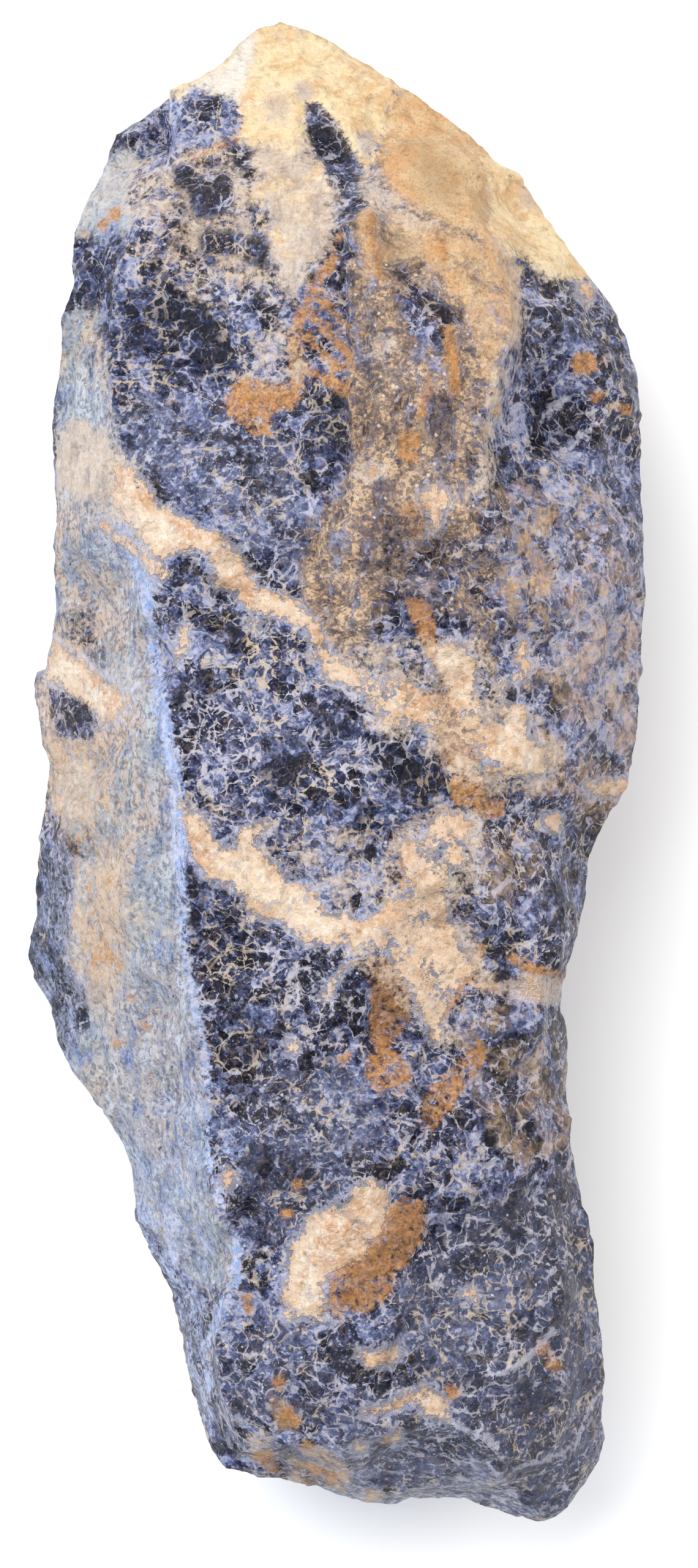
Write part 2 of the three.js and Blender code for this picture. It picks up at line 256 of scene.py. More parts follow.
CREAM_MARKS: tuple[Mark, ...] = (
    Patch("upper vein", (
        (-21.8, 30.5), (-20.2, 29.6), (-18.9, 28.6), (-17.5, 26.1), (-14.6, 25.2), (-12.4, 23.8),
        (-10.7, 22.4), (-9, 20.2), (-7.9, 18.4), (-6.2, 17.6), (-3.7, 16.5), (-2, 15.1), (-1.2, 12.8),
        (-0.5, 11.2), (1.4, 10), (2.8, 8.9), (4.5, 8.6), (5.3, 5.9), (3.1, 7.5), (2, 8.3), (-0.5, 9.2),
        (-2, 11.2), (-2.3, 13.1), (-3.4, 14.8), (-5.1, 15.4), (-6.4, 15.9), (-8.4, 15.9), (-9.6, 16.8),
        (-10.1, 18.2), (-11.8, 18.7), (-12.4, 21.3), (-13.5, 22.1), (-15.7, 21.8), (-17.2, 21.3),
        (-18.6, 22.1), (-20.5, 24.3), (-22.4, 27.1),
    )),
    Seam("upper vein branch", ((-23.1, 24.6, 0.43), (-19.9, 21.9, 0.37), (-17.2, 19.7, 0.25))),
    Patch("lower left vein", (
        (-28.7, 13.3), (-27.1, 12), (-25, 10.8), (-22.9, 9), (-20.7, 7.2), (-21.8, 5.6), (-23.4, 5.1),
        (-25, 6.5), (-27.1, 8.5), (-28.9, 9.4),
    )),
    Patch("middle vein", (
        (-15, -2.9), (-13.4, -4.7), (-12.8, -6.1), (-11.1, -7.4), (-10, -7.7), (-9.5, -5.6),
        (-8.2, -5.3), (-7.2, -5.4), (-7.5, -6.5), (-8.4, -7.4), (-6.6, -8.8), (-5.5, -10.3), (-3.2, -11),
        (-2.1, -12.3), (-1, -13.9), (2.8, -14.7), (5.3, -13.5), (5.9, -16.6), (3.2, -16.9), (1.1, -16.5),
        (0, -17.1), (-3, -16.9), (-3.9, -15.8), (-6.2, -14.2), (-8.7, -13.8), (-9.2, -12.3),
        (-11.2, -10.6), (-13.6, -9.3), (-14.5, -6.7), (-15.3, -4.3),
    )),
    Seam("middle vein branch", ((1.3, -18.7, 0.18), (-0.3, -20.6, 0.22), (-1.2, -22.4, 0.15))),
    Patch("long pocket", (
        (4.6, 7.6), (6.5, 8.5), (8.3, 8.1), (9.4, 6.7), (10.4, 5.3), (8.5, 4.4), (6.7, 5.1), (5.1, 5.3),
    )),
    Patch("ring pocket", (
        (9, 12.2), (10.8, 12.8), (12.6, 12.4), (13.6, 10.8), (14.2, 9), (13.7, 7.6), (13.7, 6.2),
        (12.4, 5.6), (11.3, 6.2), (10.4, 7.2), (11.3, 8.3), (10.4, 9.2), (9.4, 10.4),
    )),
    Patch("right pocket", (
        (16.5, 7.1), (18.7, 6.8), (18.8, 5.1), (19.3, 3.4), (20.8, 2.2), (21.1, -0.1), (19, -0.8),
        (17.5, 0.6), (14.3, 0.8), (13.9, 2.8), (15.5, 3.4), (16.3, 5),
    )),
    Patch("pocket bridge", (
        (2.8, 9.9), (9, 8), (12.7, 5.9), (15.2, 4.3), (19.5, 3.7), (21.3, -0.1), (15.2, -0.1),
        (12.1, 3.7), (8.4, 4), (4.1, 5.9),
    ), full=0.2),
    Patch("pale column", (
        (9.4, -5.1), (10.8, -4), (13.1, -4.9), (12.4, -7.2), (12.8, -7.4), (12.3, -9), (11.4, -9.6),
        (10.2, -11.9), (11, -14.6), (11.4, -16.5), (12.5, -17.6), (13.4, -19.2), (12.8, -20.8),
        (11.8, -22.1), (10.5, -24.4), (9.9, -26.4), (8.9, -24.6), (8.2, -22.4), (6.8, -20.1), (5, -17.6),
        (3.2, -16), (3.9, -13.9), (7.5, -11.9), (6.6, -10.1), (6.5, -7.4), (9, -6.7),
    ), full=0.35),
    Patch("bar specks", (
        (17, -21.3), (21.3, -20.8), (23.5, -21.4), (21.3, -22.5), (18.2, -22.4),
    ), full=-0.5),
    Patch("lower pocket", (
        (2.4, -41), (3.5, -40.5), (4.5, -41.7), (4.9, -43.3), (4.5, -45), (3.8, -46.2), (3, -46.8),
        (2.5, -47.8), (1.4, -48.2), (0.4, -48.8), (-0.6, -49.6), (-1.3, -50.4), (-1, -51.9), (-1, -53.5),
        (-0.8, -55), (-1.6, -55.2), (-2.3, -54.5), (-3.5, -53.9), (-5.1, -53.9), (-5.5, -53.1),
        (-5.1, -51.1), (-4.9, -48.8), (-4.3, -47), (-2.9, -45.3), (-2.1, -43.8), (-0.8, -43.1),
        (0.8, -42.3),
    )),
    Patch("pale lens", (
        (2.2, -57.7), (3.5, -57.2), (6, -57), (6.2, -57.8), (5.7, -58.8), (4.3, -58.4), (3.2, -58.6),
    ), full=0.6),
    Patch("pale wedge", (
        (2.8, -63.5), (5.3, -62.7), (6.2, -61.9), (7.8, -61.4), (9.1, -61.1), (10.1, -61.9), (11, -63.4),
        (11.1, -64), (9.7, -63.8), (8, -63), (5.9, -62.9), (4, -63.5),
    ), full=0.6),
    *spots("fleck",
        (-8, 15, 0.49), (-4.4, -27.2, 0.37), (-10.6, -40.2, 0.62), (5.9, -66, 0.49), (3.6, -72.6, 0.55),
        (2.5, -67.4, 0.43), (4.4, 42.3, 0.43), (3.5, 29.8, 0.43), (16, 35.5, 0.49), (25.1, 48.2, 0.62),
        (21.5, -4.9, 0.74), (13.1, -51.9, 0.49), (-7.6, -66.8, 0.37),
    ),
    Seam("short streaks", (
        (18.8, 13.1, 0.25), (18.1, 11.2, 0.31), (19, 10.6, 0.31), (17.2, 8.8, 0.31), (16.5, 8.1, 0.25),
    )),
    Seam("thin streak", ((-14.8, 14.2, 0.18), (-15.2, 12.6, 0.22), (-15.9, 11.2, 0.15))),
    Seam("lower right bar", ((25.4, -1.5, 0.43), (27.5, -1.8, 0.68), (29.3, -1.5, 0.49))),
    Patch("panel blob", (
        (8, 27), (9, 27.4), (11.1, 27.6), (10.8, 26.1), (10.1, 25.5), (10.4, 24.1), (9.6, 23.8),
        (9, 25.3),
    ), full=0.5),
)

NECK_MARKS: tuple[Mark, ...] = (
    Patch("upper vein root", (
        (-28.4, 34.5), (-24.8, 35.1), (-21.6, 32), (-19.3, 28.3), (-19.3, 23.4), (-21.8, 24.6),
        (-24.9, 27.4), (-27.9, 28.3),
    ), full=0.7),
    Patch("neck", (
        (-10.1, 64.3), (-9.3, 62.6), (-8.4, 60.9), (-8, 58.9), (-7.6, 56.7), (-7.1, 54.5), (-6.4, 52.3),
        (-5.8, 50.1), (-5.1, 46.8), (-4.2, 46.8), (-3.3, 48.6), (-2.1, 50.5), (-0.5, 52), (0.1, 55.4),
        (0.1, 57.8), (-0.9, 59.4), (-2, 61.8), (-3, 64.3), (-5.2, 63.7), (-7.6, 63.4),
    )),
    Patch("neck right", (
        (1.2, 61.3), (3.1, 61.4), (5.3, 58.5), (8.7, 55.1), (8.4, 53.9), (5.3, 55.3), (2.8, 56.3),
        (1.9, 58.5),
    ), full=0.5),
    Patch("block shoulder", (
        (-20.5, 61), (-15.7, 61.4), (-15, 59.1), (-16.2, 56.3), (-19.3, 55.4), (-20.8, 56.6),
    ), full=0),
    Patch("block lower band", (
        (-20.2, 54.4), (-17.7, 51.6), (-14.6, 49.3), (-11.2, 47.1), (-10.4, 45.6), (-11.9, 46.5),
        (-15.6, 48.6), (-18.7, 51), (-20.8, 53.3),
    ), full=-0.3),
    Patch("block speckle", (
        (-18.7, 61.9), (-13.8, 62.2), (-9.5, 61.3), (-7.9, 55.4), (-6.4, 49.9), (-7, 46.8), (-9.5, 47.4),
        (-13.8, 49.9), (-17.5, 52.3), (-19.6, 56.6),
    ), full=-0.25),
    Patch("block right band", (
        (-11, 60.6), (-9.7, 59.1), (-8.8, 54.8), (-7.9, 50.5), (-6.4, 46.8), (-8.2, 48), (-9.5, 51.1),
        (-10.7, 56),
    ), full=0.2),
    Patch("veil band", (
        (2.5, 59.7), (5.3, 58.5), (9, 55.3), (11.2, 53.9), (9, 54.2), (5.3, 56), (2.2, 57.6),
    ), full=0.4),
    Patch("rust surround", ((-8.2, 43.1), (-3.9, 44.3), (-3.3, 38.2), (-7, 38.2)), full=-0.3),
    Patch("web by the middle vein", ((-4.3, -6.2), (3.5, -6.7), (4.1, -13.5), (-2.1, -12.9)), full=-0.5),
    Patch("pocket halo", (
        (2.2, 11.4), (8.4, 13.6), (14.5, 12.3), (17, 8), (21.3, 5), (23.2, -1.2), (15.2, -1.8), (9, 1.9),
        (3.5, 5),
    ), full=-0.1),
    Patch("column halo", (
        (5.3, -7.4), (9, -3.7), (14.5, -4.3), (13.9, -11.7), (13.3, -17.2), (15.2, -20.9), (10.8, -27),
        (5.3, -20.9), (1, -18.4), (2.2, -13.5),
    ), full=-0.2),
    Patch("grey fringe", (
        (0.4, 11.1), (2.8, 12.3), (6.4, 10.8), (6.5, 8.3), (4.1, 8.2), (2.2, 9),
    ), full=0.3),
    Patch("violet lens", (
        (14.3, 31.5), (15.3, 31.3), (15.3, 29), (14.5, 27.4), (13.5, 27.6), (13.6, 29.3),
    ), full=0.4),
    Patch("white smear", ((2, 30.3), (5.1, 30.6), (5.1, 29.3), (2.2, 29.2)), full=0),
    Patch("white spots", ((3.2, 42.6), (5.6, 43.1), (6, 42), (3.8, 41.6)), full=0),
    Patch("coat root", ((-27.6, 0.2), (-25.8, 1.3), (-24.3, -0.1), (-24.8, -3.7), (-27, -4.3)), full=0.3),
    Patch("pocket foot", (
        (-4.9, -49.2), (-3, -48.6), (-2.4, -51.7), (-2.5, -54.1), (-4.7, -53.4),
    ), full=0.1),
    Patch("coat beige", (
        (-24.8, -4.9), (-20.8, -4.3), (-19.3, -14.7), (-18.4, -27), (-18, -38.1), (-20.2, -36.3),
        (-23, -28.3), (-25.5, -18.4),
    ), full=-0.5),
    # pale band along the panel's raised lip: partly its own tan colour, partly a painted highlight of the
    # lip
    Seam("lip line", (
        (15.9, 53.4, 0.25), (17.4, 51.1, 0.37), (18.1, 47.9, 0.4), (18, 44.3, 0.37), (16.3, 40.6, 0.31),
        (15.5, 37, 0.28), (15, 33.6, 0.25),
    )),
)

TAN_MARKS: tuple[Mark, ...] = (
    Patch("cross bar", (
        (13.6, -20.9), (17.1, -21), (18.7, -20.4), (21.6, -20.5), (23.5, -21.3), (23.5, -22.2),
        (21.2, -22.7), (18.5, -22.5), (16.9, -21.6), (14.5, -21.6),
    ), full=0.1),
    Patch("web by the column", (
        (13.2, -6.7), (19.2, -6.3), (19.8, -11), (17, -12.9), (13.3, -11.7),
    ), full=-0.45),
    Patch("right extension", ((18.2, 4), (22.8, 3.7), (23.2, -1.8), (18.8, -1.8)), full=-0.1),
    Patch("coat tan", (
        (-25.6, -4.3), (-23.6, -3.7), (-22.7, -8.6), (-23.6, -14.7), (-21.8, -19), (-24.2, -20.3),
        (-25.8, -17.2), (-25.5, -9.8),
    ), full=-0.5),
    Patch("foot tan", (
        (-4.6, -68.3), (-1.5, -67.7), (0.9, -69.5), (0.7, -72.1), (-3.3, -72.1),
    ), full=-0.2),
    Patch("tail tan", ((-6.1, -62.7), (-4.5, -62.9), (-3.8, -64.6), (-5.2, -65.1)), full=-0.1),
    Patch("foot spot", ((-8.5, -66.1), (-6.7, -66.3), (-6.9, -68.3), (-8.4, -68)), full=-0.1),
    Patch("upper right", (
        (5.4, 67.4), (7, 69.7), (11.5, 68.3), (17.6, 62.2), (15.9, 59.7), (15.6, 53.9), (16.1, 51.1),
        (15.2, 53), (13.3, 53.6), (11.5, 54.2), (9, 55.4), (6.2, 57.3), (4.1, 60), (5.1, 64.6),
    )),
    Patch("panel top", (
        (2.5, 56), (5.3, 56.3), (9, 54.7), (13.3, 53), (15.9, 53.4), (17.5, 50.9), (18.1, 48),
        (18, 44.3), (16.4, 40.6), (15.5, 37), (14.5, 40.6), (12.7, 46.8), (9, 50.5), (5.3, 51.1),
        (2.8, 48.6),
    ), full=0.2),
    Patch("right side specks", (
        (15.2, 27.1), (21.3, 29.6), (29.3, 25.3), (30.2, 1.9), (23.2, 4.3), (18.2, 14.2),
    ), full=-0.5),
    Patch("slope specks", (
        (11.5, -23.4), (18.8, -24), (23.2, -27), (23.2, -36.3), (18.8, -39.4), (14.5, -33.2),
    ), full=-0.5),
)

CAP_MARKS: tuple[Mark, ...] = (
    Patch("right shoulder", (
        (14.5, 61.4), (15.6, 59.6), (15.5, 56.6), (15.6, 53.9), (16.6, 53.5), (17.9, 52), (19.3, 50.5),
        (21.2, 49.1), (24.8, 49.4), (27.5, 50.5), (23.8, 56.6), (18.8, 62.2),
    )),
    Patch("cap", (
        (-19.3, 68.3), (-17, 67.8), (-14.6, 68.3), (-12.8, 68.2), (-11.2, 67.9), (-10.1, 67.2),
        (-9.7, 65.9), (-9.7, 63.7), (-7.6, 62.8), (-5.2, 63.1), (-3, 63.7), (-2.4, 66.4), (-1.2, 65.3),
        (0, 63.3), (1.2, 61.3), (3.1, 60.8), (4, 62.5), (5.1, 64.6), (5.4, 67.4), (7, 69.7),
        (10.8, 72.6), (5.3, 76.3), (-7, 77), (-19.3, 70.2),
    )),
    Patch("cap over the neck", (
        (-10.1, 67.1), (-2.1, 65.9), (-0.4, 59.1), (-4.5, 51.1), (-7.9, 57.3),
    ), full=-0.35),
)

# Painted highlight: a pale-blue line along the ridge and the shoulder, and sparse light-blue flecks of the
# same colour on the left coat and the blue faces.
RIDGE_HIGHLIGHT_MARKS: tuple[Mark, ...] = (
    Patch("light blue shoulder", ((-21.5, 66.5), (-15.6, 67.7), (-15.6, 64.3), (-19.6, 62.5)), full=-0.3),
    Seam("main ridge", (
        (-21.5, 26.5, 0.4), (-20.7, 22.2, 0.55), (-19.3, 18.8, 0.65), (-18.2, 14.2, 0.55),
        (-17.5, 8.5, 0.65), (-16.8, 4, 0.65), (-15.9, -0.6, 0.71), (-15.4, -5.1, 0.71),
        (-15.3, -11, 0.55), (-15.3, -12.8, 0.37), (-14.9, -17.6, 0.37), (-14.2, -21.4, 0.4),
        (-13.5, -25.6, 0.43), (-12.8, -29, 0.49), (-12.7, -32.4, 0.4), (-12.8, -36.5, 0.37),
        (-12.4, -39.7, 0.4), (-11, -44.3, 0.4), (-10, -46.2, 0.37), (-9.6, -48.2, 0.4),
        (-10, -50.4, 0.4), (-11, -52.7, 0.37), (-12, -55, 0.37), (-13, -57, 0.37), (-13.2, -59, 0.31),
        (-12.7, -61.5, 0.25),
    )),
    Patch("blue strip", (
        (-30.3, -7.4), (-25.8, -7.4), (-26.7, -14.2), (-27.2, -17.6), (-26.9, -19.8), (-24.9, -22.1),
        (-24.9, -24.4), (-26.1, -30.7), (-28, -26.7), (-29.5, -21.9), (-31.2, -20.1), (-31.5, -17.6),
        (-30.6, -11.9),
    ), full=-0.1),
    Patch("blue foot", (
        (-17.8, -48), (-13.2, -52.3), (-12.8, -68.3), (-16.2, -65.8), (-19, -53.5),
    ), full=-0.1),
    Patch("end facet blue", (
        (-2.1, -66.7), (2.8, -64), (11.2, -64.6), (15.9, -67.4), (18.2, -73.2), (9, -72.6), (2.2, -70.1),
    ), full=-0.38),
    Patch("face up blue", (
        (-19.9, 38.2), (-9.5, 34.5), (-3.9, 29), (-3.3, 21.6), (-9.5, 25.3), (-15.6, 28.3),
        (-20.5, 33.3),
    ), full=-0.42),
    Patch("face low blue", (
        (-10.7, -18.4), (0.4, -20.9), (1.6, -36.3), (-4.5, -43), (-9.5, -39.4),
    ), full=-0.5),
    Patch("blue low coat", ((-21.8, -33.2), (-13.2, -32), (-12.2, -48), (-19.3, -49.2)), full=-0.12),
    Patch("blue mid coat", (
        (-18, -17.2), (-15, -18.4), (-12.8, -30.7), (-18.1, -32.6), (-21.5, -29.5),
    ), full=-0.4),
    Patch("root of the vein", (
        (-28.7, 38.2), (-24.8, 38.2), (-21.2, 32), (-19.6, 28.3), (-21.8, 24.6), (-26.7, 28.3),
    ), full=-0.4),
    Seam("ridge branch", ((-12.6, -36.7, 0.15), (-11, -37.3, 0.15), (-9.8, -37.9, 0.12))),
)

CRUST_MARKS: tuple[Mark, ...] = (
    Patch("block", (
        (-15.7, 61.4), (-13.8, 61.9), (-10.4, 61.6), (-9.5, 57.3), (-8.8, 53), (-9.5, 50.5),
        (-13.5, 50.2), (-16.2, 51.1), (-18.2, 53.9), (-16.8, 57.3),
    ), full=0.1),
    Patch("panel", (
        (1.4, 50.5), (2.2, 56), (5.3, 55.1), (4.4, 60.3), (5.1, 65.3), (5.9, 67.4), (11.5, 68.3),
        (17, 63.4), (15.9, 59.1), (15.9, 53.4), (17.1, 51.7), (18.1, 47.9), (18.1, 44.6), (17.2, 41.8),
        (15.8, 39.8), (15.3, 36.8), (14.9, 33.4), (14, 31.6), (13.3, 27.7), (14.8, 24.6), (14.2, 22.2),
        (9, 22.8), (5.9, 19.1), (2.8, 12.3), (0.4, 11.1), (-2.1, 13.6), (-3.3, 16), (-3.6, 19.7),
        (-3.1, 20.9), (-2.9, 23.2), (-2, 25), (0.8, 27.7), (1.4, 30.2),
    )),
    Patch("fading streaks", (
        (12.6, 25.9), (21.3, 25.9), (21.6, 8.5), (13.9, 8.5), (12.1, 18.5),
    ), full=-0.1),
    Patch("bar fringe", ((5.3, 24), (12.7, 23.4), (12.7, 16), (6.5, 16)), full=-0.15),
)

RUST_MARKS: tuple[Mark, ...] = (
    Patch("rust pocket", (
        (-10.8, 36.4), (-10, 38.2), (-8.4, 39), (-6.6, 38.6), (-4.5, 38.2), (-4.2, 36.9), (-4.9, 36),
        (-6.4, 35.4), (-6.6, 33.6), (-8, 33.3), (-9.3, 34.4), (-10.6, 35.5),
    ), full=0.12),
    Seam("rust seam", (
        (0.5, 53.1, 0.28), (-0.4, 50.5, 0.37), (-1.5, 49.2, 0.37), (-2.6, 47.2, 0.4), (-3.6, 45, 0.43),
        (-4, 43.2, 0.43), (-4.2, 41.7, 0.43), (-4, 40.2, 0.49), (-3.8, 38.6, 0.62), (-4.7, 36.6, 0.68),
    )),
    Patch("rust web", (
        (-3.1, 46.8), (-1.8, 48), (0.4, 46.8), (1.3, 43.1), (1.3, 37.8), (-0.8, 37.6), (-3, 38.2),
        (-3.3, 41.9),
    ), full=-0.5),
    Seam("web stroke", ((-2.3, 47.7, 0.25), (-0.8, 46.2, 0.31), (1.3, 43.8, 0.28))),
    Seam("web stroke b", ((-2.6, 45.6, 0.22), (-0.8, 43.6, 0.25), (1.3, 41.3, 0.25))),
    Seam("web stroke c", ((-2.9, 43.1, 0.18), (-1.2, 41.4, 0.22), (0.4, 40, 0.22))),
    Seam("web stroke low", ((-2.4, 39.7, 0.25), (-1.2, 39, 0.31), (1.2, 38, 0.37))),
    Seam("upper stroke", ((3.7, 57.1, 0.15), (3.5, 53.8, 0.22), (4, 51.7, 0.12), (4.4, 49, 0.15))),
    Seam("upper stroke right", ((10.3, 53.8, 0.18), (10.8, 50.7, 0.18))),
    Seam("orange stroke of the panel", (
        (8.4, 47.9, 0.22), (9.7, 45.6, 0.25), (11, 43.8, 0.37), (11.5, 42.4, 0.46), (11.7, 40, 0.46),
        (11.8, 37.5, 0.34),
    )),
    Seam("panel stroke low", ((9.4, 38.8, 0.22), (9, 37.3, 0.25), (8.5, 35.1, 0.22))),
    Patch("panel patch", ((6.2, 33.6), (8, 33.4), (8, 30.6), (6.5, 30.9)), full=0.2),
    Patch("blob side", ((6.2, 25.9), (8.4, 27.1), (9, 24.6), (7.8, 23.4)), full=-0.1),
    Patch("below the panel", (
        (7, 17), (8.7, 17), (9.7, 14.8), (10.1, 12.3), (9, 12.2), (8.1, 13.6),
    ), full=0.35),
    Patch("between pockets", (
        (10.2, 6.2), (12.1, 5.9), (13.6, 3.7), (14.3, 1.3), (12.7, 0.1), (10.4, 1),
    ), full=0.15),
    Patch("under right pocket", (
        (11.7, -0.6), (14.5, -0.4), (14.9, -2.4), (13.3, -3.5), (11.8, -3),
    ), full=0.1),
    Patch("tan under the pocket", ((13.7, -3), (16.6, -3), (16.4, -4.4), (13.9, -4.3)), full=0),
    Seam("column side", ((6.5, -8.6, 0.22), (6.7, -10.1, 0.25), (6.5, -11.5, 0.18))),
    Seam("column diagonal", (
        (14.5, -17.2, 0.15), (13.7, -19, 0.28), (13.3, -20.3, 0.31), (12.3, -21.4, 0.34),
        (11.2, -23.4, 0.31), (10.1, -24.9, 0.18),
    )),
    Patch("brown beside the column", COLUMN_BROWNS, full=0),
    Patch("cream rust", (
        (2.8, -28.3), (5.9, -28), (7.3, -29.5), (6.8, -31.4), (4.4, -31.4), (3, -29.8),
    ), full=0.05),
    Patch("steep streak", (
        (8, -34.6), (9, -32.3), (10.7, -30.2), (12.2, -28.8), (14.3, -27), (15.2, -27.8), (13.6, -30),
        (12, -31.5), (11.5, -33.2), (9.3, -35.2),
    ), full=-0.12),
    Patch("lower band", (
        (6.2, -42.4), (8.4, -42.7), (8.8, -45.5), (7.6, -47.7), (5.9, -49.3), (5.3, -51.7), (3.1, -53.4),
        (-0.2, -53.6), (-0.8, -51.7), (-0.5, -49.2), (2.8, -46.7), (4.6, -44.3),
    ), full=0.05),
    Seam("bar side", ((17.6, -18.4, 0.18), (19.3, -19.4, 0.22), (23.2, -20.3, 0.18))),
    *spots("rust spot",
        (-22, 55.8, 0.55), (-23.2, 54.7, 0.49), (-22.8, -18.3, 0.49), (-21.6, -19.4, 0.37),
        (-22.5, -10.9, 0.31), (-18.8, -25.3, 0.37), (11.6, -61.5, 0.37), (0.9, -28.2, 0.49),
        (-8.8, -52.1, 0.37), (-8.6, -53.1, 0.31), (-4.9, -43.7, 0.37), (-3.7, -40.7, 0.37),
        (-5.5, -60.5, 0.37), (-4.1, -64.6, 0.43), (-2.8, -67, 0.43), (5.1, -66.4, 0.37),
        (24.9, 40.7, 1.1), (26, 37.5, 0.55), (28.8, 36.2, 0.49), (0.8, -28.1, 0.37), (-8.8, 66.6, 0.49),
        (-7.2, -68.4, 0.86), (-4.8, -64, 0.68), (-6.5, -69.8, 0.55), (-2.1, -69.8, 0.74),
        (-0.4, -70.7, 0.62), (20.4, -57.2, 0.55), (21.7, -58.9, 0.49), (-24, -18.8, 0.49),
        (-21.8, -27, 0.43), (-20.4, -22.4, 0.37), (-24.8, -11.4, 0.37),
    ),
    Seam("coat rust", ((-23.5, -16.9, 0.25), (-22.9, -18.2, 0.43), (-22.3, -18.8, 0.25))),
    Seam("block brown line", (
        (-14.6, 61.1, 0.12), (-13, 62, 0.15), (-10.4, 63.1, 0.18), (-9.6, 63.4, 0.15),
    )),
)

WARM_MARKS: tuple[Mark, ...] = (
    Patch("left foot coat", (
        (-27.9, 3.7), (-24.1, 2.9), (-23.3, -2.4), (-22.1, -4.7), (-21.8, -13.5), (-22.4, -22.1),
        (-24.8, -23.4), (-26.7, -18.4), (-26.2, -8.6), (-27.9, -4.3),
    ), full=0.5),
    Patch("orange-beige edge", ((24.4, 0), (29.3, -0.6), (29.3, -3.7), (25, -3.7)), full=0.3),
)

COAT_MARKS: tuple[Mark, ...] = (
    Patch("left face", (
        (-27.3, 45.6), (-24, 45.6), (-23.1, 41.7), (-22.7, 37.3), (-22.3, 32.9), (-21.6, 30.7),
        (-19, 28.5), (-18.7, 25.9), (-18, 22.2), (-18.4, 18.5), (-18, 13.6), (-17.5, 8.5), (-16.8, 4),
        (-15.9, -0.6), (-15.4, -5.1), (-15.3, -12.8), (-14.9, -17.6), (-14.2, -21.4), (-13.5, -25.6),
        (-12.8, -29), (-12.7, -32.4), (-12.8, -36.5), (-12.4, -39.7), (-11, -44.3), (-10, -46.2),
        (-9.6, -48.2), (-10, -50.4), (-13.2, -51.7), (-14.4, -50.4), (-17.2, -47.4), (-20.2, -44.3),
        (-22.4, -39.4), (-25.5, -35), (-28.5, -29.5), (-24.9, -24.4), (-24.9, -22.1), (-26.9, -19.8),
        (-27.2, -17.6), (-26.7, -14.2), (-25.8, -7.4), (-28.2, -4.9), (-29.8, 0.6), (-30.4, 9.9),
        (-29.2, 22.2), (-28.5, 34.5), (-28.2, 40.6),
    )),
    Patch("upper left rim", (
        (-26.2, 54.2), (-26.1, 59.1), (-20.7, 62.8), (-19.3, 61.4), (-20.2, 59.1), (-20.7, 54.2),
        (-24.2, 53.4),
    ), full=0.6),
)

SLATE_MARKS: tuple[Mark, ...] = (
    Patch("lower right", (
        (5.3, -52.3), (9, -47.4), (14.5, -42.4), (23.2, -42.4), (25.9, -51.7), (26.5, -64), (25, -71.4),
        (21.3, -75), (12.7, -73.2), (5.3, -71), (-2.1, -68.9), (-0.8, -64.6), (4.1, -62.1), (8.4, -59.7),
        (6.5, -55.4),
    ), full=0.8),
    Patch("low face", (
        (-7.6, -30.7), (0.4, -28.3), (4.1, -36.3), (0.4, -42.4), (-5.2, -47.4), (-8.2, -43),
        (-9.5, -36.9),
    ), full=0.25),
    Patch("foot", ((-12.5, -57.8), (-4.5, -54.1), (2.8, -57.8), (-2.1, -64), (-9.5, -63.4)), full=0.2),
    Patch("upper face", (
        (-20.5, 37), (-8.2, 34.5), (-3.3, 29.6), (-3.3, 21), (-8.2, 23.4), (-14.4, 26.5), (-19.9, 30.8),
    ), full=0),
)

